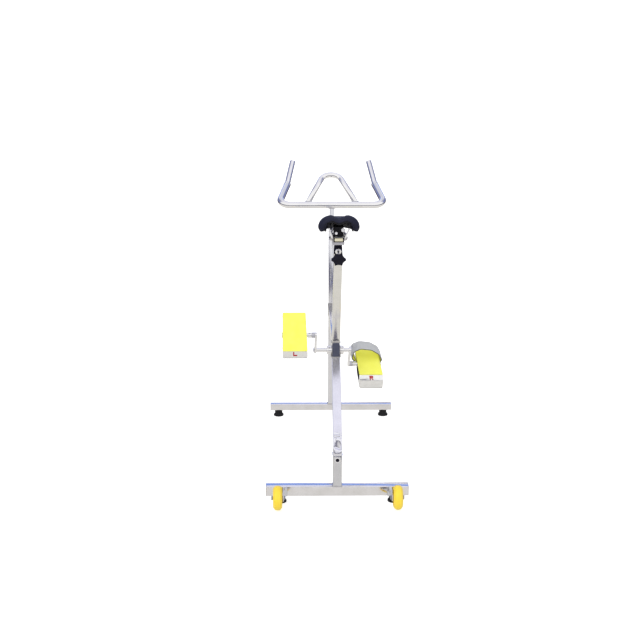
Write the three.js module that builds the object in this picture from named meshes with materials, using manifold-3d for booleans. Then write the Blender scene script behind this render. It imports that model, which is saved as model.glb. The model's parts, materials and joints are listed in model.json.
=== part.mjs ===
// Aqua bike: a free-standing stainless exercise bike for pedalling in a pool.
// Millimetres, +Z up, +Y towards the handlebar, +X to the rider's right.
// The origin lies on the floor under the middle of the bike's length and width.

import * as THREE from 'three';
import { mergeVertices } from 'three/addons/utils/BufferGeometryUtils.js';
import Module from 'manifold-3d';

const wasm = await Module();
wasm.setup();

const degrees = THREE.MathUtils.degToRad;

// Fits and facets shared by all pieces
const fit = { touch: 0.3, slide: 0.5, overrun: 5, weld: 0.001 };
const roundSides = 16;
const smallSides = 12;
const wheelSides = 32;
const hexSides = 6;
const bendStep = degrees(18);
const cornerSteps = 2;
const wideCornerSteps = 4;

// Base bars with their end caps and feet
const base = {
  width: 560, length: 970, rearTube: 40, frontTube: 30, wall: 2, corner: 3,
  capPlate: 2, capPlug: 12, rearFoot: 30, frontFoot: 28, rearFootInset: 59, frontFootInset: 38,
};
const foot = {
  topRadius: 18.5, waistRadius: 17, rimRadius: 22.5, rimHeight: 6, topPlate: 4, cup: 15, cupDepth: 3,
};

// Transport wheels behind the rear bar
const wheel = {
  radius: 48, width: 35, shoulderRadius: 37, crown: 2, crownShare: 0.6, bushRadius: 11, axleRadius: 4,
  fromBarEnd: 48, behindBar: 64, floorGap: 4.5, headRadius: 8, headLength: 6, sideGap: 1,
};
const bracket = { plate: 4, flange: 16, height: 38, tailRadius: 14, belowBarTop: 1 };

// Rear post and the strut that leans forward from its top
const post = {
  size: 35, wall: 2, corner: 3, height: 130, plugRadius: 6.5, plugBelowTop: 19, plugStandOff: 1.5,
  plugDepth: 4, plugTopShare: 0.6, ringRadius: 11, ringLength: 1.5,
};
const strut = { size: 35, wall: 2, corner: 3, bend: 70, tilt: degrees(45), flange: 2.5, flangeLip: 2.5 };

// Main beam, bottom bracket and front mast
const beam = {
  width: 30, height: 58, wall: 2.5, corner: 4, rearEnd: 272, rearMiddle: 542, slope: degrees(2.3),
};
const shell = {
  fromBeamEnd: 28, belowBeamMiddle: 8, radius: 17, wall: 3, leftReach: 24, rightReach: 19,
  cupFlange: 13, cupRadius: 18, cupChamfer: 2, cupSleeve: 10,
};
const mast = { size: 28, wall: 2, corner: 2.5, top: 881 };

// Seat tube, tube heads with clamp knobs, and the telescoping posts
const seatTube = { size: 33, wall: 2, corner: 3, lean: degrees(24), length: 455.5, footMargin: 4 };
const seatPost = { size: 22, wall: 2, corner: 2, inside: 300, lift: 16.5 };
const stem = { size: 20, wall: 2, corner: 2, inside: 300 };
const head = { height: 38, seatTop: 27, mastTop: 25, plug: 40, insertAbove: 14, bossLip: 1 };
const insert = { flangeRadius: 12.5, flangeLength: 4, bodyRadius: 7 };
const knob = {
  tipRadius: 29, rootRadius: 21, points: 6, lobeSteps: 6, thickness: 16, edge: 2, shankRadius: 4,
  standOff: 40, hubRadius: 10, hubLength: 8,
};

// Saddle mount and clamp, measured from the seat post's axis at the mount's underside
const mount = { width: 41, height: 20, wall: 2.5, corner: 2.5, behind: 43, ahead: 36 };
const clamp = {
  along: -2, cheek: 9.5, cheekLength: 34, cheekBelowRail: 16.5, cheekAboveRail: 7.5,
  boltRadius: 4, boltBelowRail: 10, headRadius: 7, headLength: 4,
};
const rail = {
  radius: 3.5, height: 17, spread: 24.5, bend: 8, rearSpread: 38.5, rearBend: -44, rearEnd: -74,
  rearHeight: 64, frontBend: 62, noseSpread: 10, noseEnd: 134, noseHeight: 23,
};
const saddle = {
  rear: -83, length: 262, halfWidth: 78, skirt: 47, height: 60, dip: 5, dipWidth: 13,
  sideWall: 13, topWall: 26, noseWall: 22, liner: 4, ringSteps: 24, linerSteps: 12, bossSize: 17, bossDrop: 8,
};
// Saddle outline from the rear to the nose: shares of its length, half width, height and skirt rise
const saddleRoundness = 2.4;
const saddleLengthShares = [0, 0.015, 0.05, 0.11, 0.2, 0.31, 0.43, 0.55, 0.68, 0.8, 0.9, 0.96, 0.99, 1];
const saddleWidthShares = [0.74, 0.84, 0.94, 0.99, 1, 0.92, 0.75, 0.57, 0.42, 0.33, 0.28, 0.24, 0.18, 0.1];
const saddleTopShares = [0.66, 0.84, 0.95, 1, 0.9, 0.76, 0.63, 0.51, 0.39, 0.28, 0.18, 0.11, 0.03, -0.08];
const saddleSkirtShares = [
  0.16, 0.06, 0, 0, -0.02, -0.07, -0.13, -0.19, -0.25, -0.3, -0.33, -0.34, -0.32, -0.28,
];
const saddleDipShares = [1, 1, 1, 1, 0.9, 0.7, 0.45, 0.25, 0.1, 0, 0, 0, 0, 0];

// Cranks and pedals
const crank = {
  length: 170, thickness: 8, bossRadius: 14.5, endRadius: 11.5, leftPlane: 82, rightPlane: 57,
  phase: degrees(142), axleRadius: 8.5, axleInset: 1, washerRadius: 12, washer: 1.5, boltRadius: 8,
  boltHead: 5,
};
const pedal = {
  width: 98, toeNarrowing: 8, toe: 87, heel: 65.3, topFace: 19, pad: 7, padEdge: 1.5, corner: 5,
  bevelRun: 18.8, bevelDrop: 12.6, rearWall: 56.7, floorRun: 34, toeWall: 28, sheet: 2.5, gapToCrank: 28,
  leftTilt: degrees(64), rightTilt: degrees(36), rightSlant: degrees(9),
};
const spindle = {
  radius: 6, collarRadius: 11, collarLength: 12, tubeRadius: 8.5, hubRadius: 10.5, endCapRadius: 11,
  endCap: 4, endInset: 1,
};
const mark = { height: 17, width: 16, stroke: 4.6, raise: 0.8, middleShare: 0.4, legShare: 0.3 };
const strap = {
  width: 40, thickness: 6, rearEdge: 13, bend: 20, corner: 1.5, bottom: 24, foot: 9, side: 64, rise: 86,
};
// Corners of the strap's arch, from beside the crank: shares of its side reach and of its rise
const strapSideShares = [-1, -0.9, -0.47, 0.22, 0.72, 0.94];
const strapRiseShares = [0.21, 0.77, 1, 0.91, 0.56, 0.09];

// Handlebar, measured from the middle of its cross tube
const bar = {
  height: 992, radius: 15.5, wall: 2, side: 237, bend: 42, elbowSide: 199, elbowForward: 157, elbowRise: 61,
  tipSide: 174, tipForward: 247, tipRise: 152, hornRadius: 12.5, ringLip: 1.5, ringLength: 8, hornSink: 6,
};
const hoop = { radius: 12.5, wall: 2, halfBase: 112, halfTop: 34, reach: 197, tilt: degrees(32), bend: 48 };

// Materials
function metal(color, roughness) {
  return new THREE.MeshStandardMaterial({ color, roughness, metalness: 1 });
}
function plain(color, roughness) {
  return new THREE.MeshStandardMaterial({ color, roughness, metalness: 0 });
}
const steel = metal(0xd9dade, 0.12);
const darkSteel = metal(0x6f7178, 0.35);
const blackPlastic = plain(0x1c1c20, 0.5);
const blackRubber = plain(0x17171a, 0.8);
const yellowPlastic = plain(0xfddc3c, 0.4);
const nylon = plain(0xe8e6dc, 0.5);
const yellowFoam = plain(0xfdfd70, 0.7);
const redPaint = plain(0xb02030, 0.5);
const greyWebbing = plain(0xb5b7ba, 0.8);
const blackVinyl = plain(0x1e1e26, 0.6);

// Closed meshes: shared points, no empty triangles, faces turned outwards
function closed(geometry) {
  const bare = new THREE.BufferGeometry();
  bare.setAttribute('position', geometry.getAttribute('position').clone());
  if (geometry.index) bare.setIndex(geometry.index.clone());
  const welded = mergeVertices(bare, fit.weld);
  const source = welded.index.array;
  const order = [];
  for (let i = 0; i < source.length; i += 3) {
    const [a, b, c] = [source[i], source[i + 1], source[i + 2]];
    if (a !== b && b !== c && c !== a) order.push(a, b, c);
  }
  const outward = signedVolume(welded.getAttribute('position'), order) > 0;
  welded.setIndex(outward ? order : order.reverse());
  return welded;
}
function signedVolume(position, order) {
  const [a, b, c] = [new THREE.Vector3(), new THREE.Vector3(), new THREE.Vector3()];
  let sum = 0;
  for (let i = 0; i < order.length; i += 3) {
    a.fromBufferAttribute(position, order[i]);
    b.fromBufferAttribute(position, order[i + 1]);
    c.fromBufferAttribute(position, order[i + 2]);
    sum += a.dot(b.cross(c));
  }
  return sum;
}

// Joining and cutting
function solidFrom(geometry) {
  const mesh = closed(geometry);
  const vertProperties = new Float32Array(mesh.getAttribute('position').array);
  const triVerts = new Uint32Array(mesh.index.array);
  return new wasm.Manifold(new wasm.Mesh({ numProp: 3, vertProperties, triVerts }));
}
function geometryFrom(solid) {
  const { numProp, vertProperties, triVerts } = solid.getMesh();
  const position = new Float32Array((vertProperties.length / numProp) * 3);
  for (let i = 0; i * numProp < vertProperties.length; i++) {
    position.set(vertProperties.subarray(i * numProp, i * numProp + 3), i * 3);
  }
  const geometry = new THREE.BufferGeometry();
  geometry.setAttribute('position', new THREE.BufferAttribute(position, 3));
  geometry.setIndex(new THREE.BufferAttribute(new Uint32Array(triVerts), 1));
  return geometry;
}
function cut(geometry, ...tools) {
  return geometryFrom(tools.reduce((solid, tool) => solid.subtract(solidFrom(tool)), solidFrom(geometry)));
}
function join(geometry, ...others) {
  return geometryFrom(others.reduce((solid, other) => solid.add(solidFrom(other)), solidFrom(geometry)));
}
function common(geometry, other) {
  return geometryFrom(solidFrom(geometry).intersect(solidFrom(other)));
}

// Flat outlines
function easedShape(points, ease) {
  const shape = new THREE.Shape();
  points.forEach(([x, y], i) => {
    const [previousX, previousY] = points[(i + points.length - 1) % points.length];
    const [nextX, nextY] = points[(i + 1) % points.length];
    const before = new THREE.Vector2(previousX - x, previousY - y).setLength(ease);
    const after = new THREE.Vector2(nextX - x, nextY - y).setLength(ease);
    if (i === 0) shape.moveTo(x + before.x, y + before.y);
    else shape.lineTo(x + before.x, y + before.y);
    shape.quadraticCurveTo(x, y, x + after.x, y + after.y);
  });
  return shape;
}
function rectangle(width, height, corner) {
  const [w, h] = [width / 2, height / 2];
  return easedShape([[-w, -h], [w, -h], [w, h], [-w, h]], corner);
}
function tubeSection(width, height, wall, corner) {
  const shape = rectangle(width, height, corner);
  shape.holes.push(rectangle(width - 2 * wall, height - 2 * wall, Math.max(corner - wall, wall / 2)));
  return shape;
}
function circlePoints(radius, sides) {
  return Array.from({ length: sides }, (_, i) => {
    const angle = (i / sides) * 2 * Math.PI;
    return new THREE.Vector2(radius * Math.cos(angle), radius * Math.sin(angle));
  });
}
function disc(radius, sides = roundSides) {
  return new THREE.Shape(circlePoints(radius, sides));
}
function ring(radius, wall) {
  const shape = disc(radius);
  shape.holes.push(new THREE.Path(circlePoints(radius - wall, roundSides)));
  return shape;
}

// Straight extrusions: up from zero, forward from zero, or sideways about zero
function upright(section, length, steps = cornerSteps) {
  return new THREE.ExtrudeGeometry(section, { depth: length, bevelEnabled: false, curveSegments: steps });
}
function forward(section, length) {
  return upright(section, length).rotateX(-Math.PI / 2);
}
// The section is drawn in the Y-Z plane
function sideways(section, length) {
  return upright(section, length).translate(0, 0, -length / 2).rotateX(Math.PI / 2).rotateZ(Math.PI / 2);
}
function block(x, y, z) {
  return new THREE.BoxGeometry(x, y, z);
}

// Solids of revolution about the X axis; a profile holds [along, radius] pairs
function turned(profile, sides = roundSides) {
  const points = profile.map(([along, radius]) => new THREE.Vector2(radius, along));
  const endsOnAxis = profile[0][1] === 0 && profile[profile.length - 1][1] === 0;
  if (!endsOnAxis) points.push(points[0].clone());
  return closed(new THREE.LatheGeometry(points, sides).rotateZ(-Math.PI / 2));
}
function rod(radius, from, to, sides = roundSides) {
  return turned([[from, 0], [from, radius], [to, radius], [to, 0]], sides);
}
function pipe(radius, bore, from, to, sides = roundSides) {
  return turned([[from, bore], [from, radius], [to, radius], [to, bore]], sides);
}
function pointingBack(geometry) {
  return geometry.rotateZ(-Math.PI / 2);
}
function pointingUp(geometry) {
  return geometry.rotateY(-Math.PI / 2);
}

// A route of straight runs joined by round bends, stepped only along the bends
class BentRoute extends THREE.Curve {
  constructor(corners, bendRadius) {
    super();
    this.stations = [];
    this.headings = [];
    const last = corners.length - 1;
    this.addStation(corners[0], corners[1].clone().sub(corners[0]).normalize());
    for (let i = 1; i < last; i++) this.addBend(corners[i - 1], corners[i], corners[i + 1], bendRadius);
    this.addStation(corners[last], corners[last].clone().sub(corners[last - 1]).normalize());
  }
  addBend(previous, corner, next, bendRadius) {
    const before = corner.clone().sub(previous).normalize();
    const after = next.clone().sub(corner).normalize();
    const turn = before.angleTo(after);
    const start = corner.clone().addScaledVector(before, -bendRadius * Math.tan(turn / 2));
    const inward = after.clone().addScaledVector(before, -after.dot(before)).normalize();
    const steps = Math.max(2, Math.ceil(turn / bendStep));
    for (let s = 0; s <= steps; s++) {
      const angle = (turn * s) / steps;
      const place = start.clone()
        .addScaledVector(before, bendRadius * Math.sin(angle))
        .addScaledVector(inward, bendRadius * (1 - Math.cos(angle)));
      const heading = before.clone().multiplyScalar(Math.cos(angle)).addScaledVector(inward, Math.sin(angle));
      this.addStation(place, heading);
    }
  }
  addStation(place, heading) {
    this.stations.push(place.clone());
    this.headings.push(heading.clone());
  }
  get steps() {
    return this.stations.length - 1;
  }
  getPoint(t) {
    return this.stations[Math.round(t * this.steps)].clone();
  }
  getPointAt(u) {
    return this.getPoint(u);
  }
  getTangentAt(u) {
    return this.headings[Math.round(u * this.steps)].clone();
  }
  getSpacedPoints() {
    return this.stations.map((place) => place.clone());
  }
}
function bent(corners, bendRadius, section) {
  const extrudePath = new BentRoute(corners.map((corner) => new THREE.Vector3(...corner)), bendRadius);
  const options = { steps: extrudePath.steps, extrudePath, bevelEnabled: false, curveSegments: cornerSteps };
  return closed(new THREE.ExtrudeGeometry(section, options));
}

// Assembly
const bike = new THREE.Group();
function add(group, name, geometry, material) {
  const mesh = new THREE.Mesh(closed(geometry), material);
  mesh.name = name;
  group.add(mesh);
  return mesh;
}
function groupAt(parent, x, y, z) {
  const group = new THREE.Group();
  group.position.set(x, y, z);
  parent.add(group);
  return group;
}
const sides = [
  { side: 'left', sign: -1 },
  { side: 'right', sign: 1 },
];

// Places worked out from the driving dimensions
const rearBarTop = base.rearFoot + base.rearTube;
const frontBarTop = base.frontFoot + base.frontTube;
const mastPlace = base.length - base.frontTube / 2;
const mastRearFace = mastPlace - mast.size / 2;
const postMiddle = post.size / 2;
const postTop = rearBarTop + post.height;
const wheelAxleHeight = wheel.radius + wheel.floorGap;
// A point along the beam from its rear end and above its middle line
function onBeam(along, above) {
  return {
    y: beam.rearEnd + along * Math.cos(beam.slope) + above * Math.sin(beam.slope),
    z: beam.rearMiddle - along * Math.sin(beam.slope) + above * Math.cos(beam.slope),
  };
}
const crankAxle = onBeam(shell.fromBeamEnd, -shell.belowBeamMiddle);
const seatFoot = onBeam(
  seatTube.footMargin + seatTube.size / 2 / Math.cos(seatTube.lean + beam.slope),
  beam.height / 2,
);
const mountRise = seatTube.length + head.height + seatPost.lift;
const mountPlace = {
  y: seatFoot.y - mountRise * Math.sin(seatTube.lean),
  z: seatFoot.z + mountRise * Math.cos(seatTube.lean),
};

function addBase() {
  const { rearTube, frontTube, rearFoot, frontFoot, rearFootInset, frontFootInset } = base;
  const bars = [
    { end: 'rear', size: rearTube, y: rearTube / 2, rise: rearFoot, inset: rearFootInset },
    { end: 'front', size: frontTube, y: mastPlace, rise: frontFoot, inset: frontFootInset },
  ];
  for (const { end, size, y, rise, inset } of bars) {
    const group = groupAt(bike, 0, y, rise + size / 2);
    const tube = sideways(tubeSection(size, size, base.wall, base.corner), base.width - 2 * base.capPlate);
    add(group, `${end}_base_bar`, tube, steel);
    for (const { side, sign } of sides) {
      const cap = add(group, `${end}_end_cap_${side}`, endCap(size, sign), steel);
      cap.position.x = (sign * base.width) / 2;
      const rest = add(group, `${end}_foot_${side}`, rubberFoot(rise), blackRubber);
      rest.position.set(sign * (base.width / 2 - inset), 0, -rise - size / 2);
    }
  }
}
// The cap's outer face lies at zero; its hollow plug reaches into the bar
function endCap(size, sign) {
  const bore = size - 2 * base.wall;
  const plugSize = bore - 2 * fit.touch;
  const reach = base.capPlate + base.capPlug;
  const hollowLength = base.capPlug + fit.overrun;
  const plate = sideways(rectangle(size, size, base.corner), base.capPlate);
  const plug = sideways(rectangle(plugSize, plugSize, base.corner - base.wall), reach);
  const hollow = block(hollowLength, plugSize - 2 * base.wall, plugSize - 2 * base.wall);
  return cut(
    join(plate.translate((-sign * base.capPlate) / 2, 0, 0), plug.translate((-sign * reach) / 2, 0, 0)),
    hollow.translate(-sign * (base.capPlate + hollowLength / 2), 0, 0),
  );
}
function rubberFoot(height) {
  const profile = [
    [foot.cupDepth, 0], [0, foot.cup], [0, foot.rimRadius], [foot.rimHeight, foot.rimRadius],
    [foot.rimHeight * 2, foot.waistRadius], [height - foot.topPlate, foot.waistRadius],
    [height - foot.topPlate, foot.topRadius], [height, foot.topRadius], [height, 0],
  ];
  return pointingUp(turned(profile));
}

function addTransportWheels() {
  const half = wheel.width / 2;
  const bore = wheel.axleRadius + fit.touch;
  const fromMiddle = base.width / 2 - wheel.fromBarEnd;
  for (const { side, sign } of sides) {
    const group = groupAt(bike, sign * fromMiddle, -wheel.behindBar, wheelAxleHeight);
    add(group, `wheel_${side}`, wheelTyre(), yellowPlastic);
    const bush = pipe(wheel.bushRadius, bore, -half - wheel.sideGap / 2, half + wheel.sideGap / 2);
    add(group, `wheel_bush_${side}`, bush, nylon);
    add(group, `wheel_bracket_${side}`, wheelBracket(sign), steel);
    add(group, `wheel_axle_${side}`, wheelBolt(sign), darkSteel);
  }
}
function wheelTyre() {
  const half = wheel.width / 2;
  const bore = wheel.bushRadius + fit.touch;
  const crownEdge = half * wheel.crownShare;
  const crownRadius = wheel.radius - wheel.crown;
  return turned([
    [-half, bore], [-half, wheel.shoulderRadius], [-crownEdge, crownRadius], [0, wheel.radius],
    [crownEdge, crownRadius], [half, wheel.shoulderRadius], [half, bore],
  ], wheelSides);
}
// An angle bracket: its flange lies on the bar and its plate reaches back to the wheel bolt
function wheelBracket(sign) {
  const top = rearBarTop - bracket.belowBarTop - wheelAxleHeight;
  const bottom = top - bracket.height;
  const outline = new THREE.Shape();
  outline.moveTo(wheel.behindBar, top);
  outline.lineTo(0, bracket.tailRadius);
  outline.absarc(0, 0, bracket.tailRadius, Math.PI / 2, Math.PI * 1.5);
  outline.lineTo(wheel.behindBar, bottom);
  outline.holes.push(new THREE.Path(circlePoints(wheel.axleRadius + fit.touch, smallSides)));
  const wheelSide = wheel.width / 2 + 2 * wheel.sideGap;
  const plate = upright(outline, bracket.plate, roundSides / 2).translate(0, 0, -bracket.plate / 2);
  plate.rotateX(Math.PI / 2).rotateZ(Math.PI / 2).translate(-sign * (wheelSide + bracket.plate / 2), 0, 0);
  const flange = block(bracket.flange, bracket.plate, bracket.height);
  flange.translate(
    -sign * (wheelSide + bracket.flange / 2),
    wheel.behindBar - bracket.plate / 2,
    (top + bottom) / 2,
  );
  return join(plate, flange);
}
function wheelBolt(sign) {
  const headFrom = wheel.width / 2 + wheel.sideGap;
  const nutFrom = wheel.width / 2 + 2 * wheel.sideGap + bracket.plate + fit.touch;
  const shankFrom = -sign * (nutFrom + wheel.headLength / 2);
  const shankTo = sign * (headFrom + wheel.headLength / 2);
  return join(
    rod(wheel.axleRadius, shankFrom, shankTo, smallSides),
    rod(wheel.headRadius, sign * headFrom, sign * (headFrom + wheel.headLength), hexSides),
    rod(wheel.headRadius, -sign * nutFrom, -sign * (nutFrom + wheel.headLength), hexSides),
  );
}

function addRearPost() {
  const group = groupAt(bike, 0, postMiddle, rearBarTop);
  const holeRadius = post.plugRadius + fit.touch;
  const plugRise = post.height - post.plugBelowTop;
  const outerFace = postMiddle + post.ringLength;
  const tube = upright(tubeSection(post.size, post.size, post.wall, post.corner), post.height);
  const rim = pointingBack(rod(post.ringRadius, postMiddle - post.wall, outerFace)).translate(0, 0, plugRise);
  const hole = pointingBack(rod(holeRadius, 0, outerFace + fit.overrun)).translate(0, 0, plugRise);
  add(group, 'rear_post', cut(join(tube, rim), hole), steel);
  const [innerFace, crown] = [postMiddle - post.plugDepth, outerFace + post.plugStandOff];
  const plug = turned([
    [innerFace, 0], [innerFace, post.plugRadius], [outerFace, post.plugRadius],
    [crown, post.plugRadius * post.plugTopShare], [crown, 0],
  ]);
  add(group, 'post_plug', pointingBack(plug).translate(0, 0, plugRise), blackPlastic);
}

// The strut bends out of the post's top and ends under the beam, its rear face at the beam's rear edge
function addRearStrut() {
  const edge = onBeam(0, -beam.height / 2);
  const [rise, run] = [Math.cos(strut.tilt), Math.sin(strut.tilt)];
  const under = { y: edge.y + (strut.size / 2) * rise, z: edge.z - (strut.size / 2) * run };
  const bendHeight = under.z - ((under.y - postMiddle) * rise) / run;
  const corners = [
    [0, postMiddle, postTop],
    [0, postMiddle, bendHeight],
    [0, under.y + 2 * strut.size * run, under.z + 2 * strut.size * rise],
  ];
  const tube = bent(corners, strut.bend, tubeSection(strut.size, strut.size, strut.wall, strut.corner));
  const lipSize = strut.size + 2 * strut.flangeLip;
  const lipSection = tubeSection(lipSize, lipSize, strut.flangeLip + strut.wall, strut.corner);
  const lip = upright(lipSection, strut.flange);
  const above = block(2 * strut.size, 8 * strut.size, 4 * strut.size)
    .translate(0, 0, 2 * strut.size - fit.touch)
    .rotateX(-beam.slope)
    .translate(0, edge.y, edge.z);
  add(bike, 'rear_strut', cut(join(tube, lip.translate(0, postMiddle, postTop)), above), steel);
}

function addMainBeam() {
  const reach = (mastRearFace - fit.touch - beam.rearEnd) / Math.cos(beam.slope);
  const outer = forward(rectangle(beam.width, beam.height, beam.corner), reach + beam.height);
  const innerCorner = beam.corner - beam.wall;
  const inner = forward(
    rectangle(beam.width - 2 * beam.wall, beam.height - 2 * beam.wall, innerCorner),
    reach + 2 * beam.height,
  ).translate(0, beam.wall, 0);
  const beyond = block(2 * beam.width, 4 * beam.height, 2 * beam.height)
    .translate(0, 2 * beam.height, 0)
    .rotateX(beam.slope)
    .translate(0, reach, 0);
  const shellHole = rod(shell.radius + fit.touch, -beam.width, beam.width)
    .translate(0, shell.fromBeamEnd, -shell.belowBeamMiddle);
  const mesh = add(bike, 'main_beam', cut(outer, inner, beyond, shellHole), steel);
  mesh.position.set(0, beam.rearEnd, beam.rearMiddle);
  mesh.rotation.x = -beam.slope;
}

function addBottomBracket() {
  const group = groupAt(bike, 0, crankAxle.y, crankAxle.z);
  const bore = shell.radius - shell.wall;
  add(group, 'bottom_bracket_shell', pipe(shell.radius, bore, -shell.leftReach, shell.rightReach), steel);
  add(group, 'bearing_cup_left', bearingCup(-1, shell.leftReach, bore), darkSteel);
  add(group, 'bearing_cup_right', bearingCup(1, shell.rightReach, bore), darkSteel);
}
function bearingCup(sign, seat, shellBore) {
  const bore = crank.axleRadius + fit.touch;
  const sleeve = shellBore - fit.touch;
  const face = seat + shell.cupFlange;
  const profile = [
    [seat - shell.cupSleeve, bore], [seat - shell.cupSleeve, sleeve], [seat, sleeve], [seat, shell.cupRadius],
    [face - shell.cupChamfer, shell.cupRadius], [face, shell.cupRadius - shell.cupChamfer], [face, bore],
  ];
  return turned(profile.map(([along, radius]) => [sign * along, radius]));
}

function addMast() {
  const tube = upright(tubeSection(mast.size, mast.size, mast.wall, mast.corner), mast.top - frontBarTop);
  add(bike, 'front_mast', tube, steel).position.set(0, mastPlace, frontBarTop);
  const top = groupAt(bike, 0, mastPlace, mast.top);
  top.rotation.z = Math.PI;
  addTubeHead(top, 'mast', { size: mast.size, wall: mast.wall, topSize: head.mastTop, inner: stem.size });
}

function addSeatTube() {
  const group = groupAt(bike, 0, seatFoot.y, seatFoot.z);
  group.rotation.x = seatTube.lean;
  const spare = 2 * seatTube.size;
  const section = tubeSection(seatTube.size, seatTube.size, seatTube.wall, seatTube.corner);
  const below = block(2 * seatTube.size, 4 * seatTube.size, 2 * spare)
    .translate(0, 0, fit.touch - spare)
    .rotateX(-seatTube.lean - beam.slope);
  const tube = upright(section, seatTube.length + spare).translate(0, 0, -spare);
  add(group, 'seat_tube', cut(tube, below), steel);
  const top = groupAt(group, 0, 0, seatTube.length + fit.touch);
  const { size, wall } = seatTube;
  addTubeHead(top, 'seat', { size, wall, topSize: head.seatTop, inner: seatPost.size });
  addSeatPost(group);
}

// A black guide head on a tube's top with a threaded insert and a star knob on its rear side
function addTubeHead(group, name, { size, wall, topSize, inner }) {
  const headName = name === 'seat' ? 'seat_tube_head' : 'mast_head';
  add(group, headName, tubeHead(size, wall, topSize, inner), blackPlastic);
  const axis = groupAt(group, 0, 0, head.insertAbove);
  add(axis, `${name}_clamp_insert`, clampInsert(size, inner), steel);
  add(axis, `${name}_knob`, clampKnob(size, inner), blackPlastic);
}
function tubeHead(size, wall, topSize, inner) {
  const body = new THREE.CylinderGeometry(topSize * Math.SQRT1_2, size * Math.SQRT1_2, head.height, 4)
    .rotateY(Math.PI / 4)
    .rotateX(Math.PI / 2)
    .translate(0, 0, head.height / 2);
  const plugSize = size - 2 * wall - 2 * fit.touch;
  const plug = upright(rectangle(plugSize, plugSize, wall / 2), head.plug + fit.overrun)
    .translate(0, 0, -head.plug);
  const boss = pointingBack(rod(insert.flangeRadius + head.bossLip, 0, size / 2))
    .translate(0, 0, head.insertAbove);
  const boreSize = inner + fit.slide;
  const boreLength = head.plug + head.height + 2 * fit.overrun;
  const bore = block(boreSize, boreSize, boreLength).translate(0, 0, (head.height - head.plug) / 2);
  const hole = pointingBack(rod(insert.bodyRadius + fit.touch, 0, size)).translate(0, 0, head.insertAbove);
  return cut(join(body, plug, boss), bore, hole);
}
function clampInsert(size, inner) {
  const bore = knob.shankRadius + fit.touch;
  const tip = inner / 2 + fit.slide + fit.touch;
  const seat = size / 2 + fit.touch;
  return pointingBack(turned([
    [tip, bore], [tip, insert.bodyRadius], [seat, insert.bodyRadius], [seat, insert.flangeRadius],
    [seat + insert.flangeLength, insert.flangeRadius], [seat + insert.flangeLength, bore],
  ]));
}
function clampKnob(size, inner) {
  const near = size / 2 + insert.flangeLength + knob.standOff;
  const star = new THREE.ExtrudeGeometry(starShape(), {
    depth: knob.thickness - 2 * knob.edge, bevelEnabled: true, bevelThickness: knob.edge,
    bevelSize: knob.edge, bevelOffset: -knob.edge, bevelSegments: 1, curveSegments: 1,
  });
  star.translate(0, 0, knob.edge + near).rotateY(Math.PI / 2);
  const shank = rod(knob.shankRadius, inner / 2 + fit.touch, near + knob.thickness / 2, smallSides);
  const hub = rod(knob.hubRadius, near - knob.hubLength, near + knob.thickness / 2);
  return pointingBack(join(star, shank, hub));
}
function starShape() {
  const count = knob.points * knob.lobeSteps;
  const points = Array.from({ length: count }, (_, i) => {
    const angle = (i / count) * 2 * Math.PI;
    const swing = (1 - Math.cos(angle * knob.points)) / 2;
    const radius = knob.rootRadius + (knob.tipRadius - knob.rootRadius) * swing;
    return new THREE.Vector2(radius * Math.cos(angle), radius * Math.sin(angle));
  });
  return new THREE.Shape(points);
}

// The seat post telescopes in the seat tube and carries the level mount on its cut top
function addSeatPost(group) {
  const start = seatTube.length - seatPost.inside;
  const section = tubeSection(seatPost.size, seatPost.size, seatPost.wall, seatPost.corner);
  const tube = upright(section, mountRise + seatPost.size - start).translate(0, 0, start);
  const above = block(2 * seatPost.size, 4 * seatPost.size, 4 * seatPost.size)
    .translate(0, 0, 2 * seatPost.size - fit.touch)
    .rotateX(-seatTube.lean)
    .translate(0, 0, mountRise);
  add(group, 'seat_post', cut(tube, above), steel);
}

function addSaddleMount(group) {
  const length = mount.behind + mount.ahead;
  const middle = mount.height / 2;
  const outer = forward(rectangle(mount.width, mount.height, mount.corner), length);
  const inner = forward(
    rectangle(mount.width - 2 * mount.wall, mount.height - 2 * mount.wall, mount.wall / 2),
    length,
  ).translate(0, mount.wall, 0);
  const boltRise = rail.height - clamp.boltBelowRail;
  const hole = rod(clamp.boltRadius + fit.touch, -mount.width, mount.width, smallSides)
    .translate(0, clamp.along + mount.behind, boltRise - middle);
  const body = cut(outer, inner, hole).translate(0, -mount.behind, middle);
  add(group, 'saddle_mount', body, steel);
}
function addSaddleClamp(group) {
  const boltRise = rail.height - clamp.boltBelowRail;
  const near = mount.width / 2 + fit.touch;
  const far = near + clamp.cheek;
  for (const { side, sign } of sides) {
    const cheekMiddle = rail.height + (clamp.cheekAboveRail - clamp.cheekBelowRail) / 2;
    const cheek = block(clamp.cheek, clamp.cheekLength, clamp.cheekBelowRail + clamp.cheekAboveRail)
      .translate(sign * (near + clamp.cheek / 2), 0, cheekMiddle);
    const round = rod(rail.radius + fit.touch, -clamp.cheekLength, clamp.cheekLength, smallSides);
    const channel = pointingBack(round).translate(sign * rail.spread, 0, rail.height);
    const slot = block(2 * (rail.spread - near), 2 * clamp.cheekLength, 2 * rail.radius)
      .translate(sign * near, 0, rail.height);
    const hole = rod(clamp.boltRadius + fit.touch, -2 * far, 2 * far, smallSides).translate(0, 0, boltRise);
    add(group, `clamp_cheek_${side}`, cut(cheek, channel, slot, hole), steel).position.y = clamp.along;
  }
  const bolt = join(
    rod(clamp.boltRadius, -far - clamp.headLength / 2, far + clamp.headLength / 2, smallSides),
    rod(clamp.headRadius, far, far + clamp.headLength, hexSides),
    rod(clamp.headRadius, -far - clamp.headLength, -far, hexSides),
  );
  add(group, 'saddle_clamp_bolt', bolt, darkSteel).position.set(0, clamp.along, boltRise);
}

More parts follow.
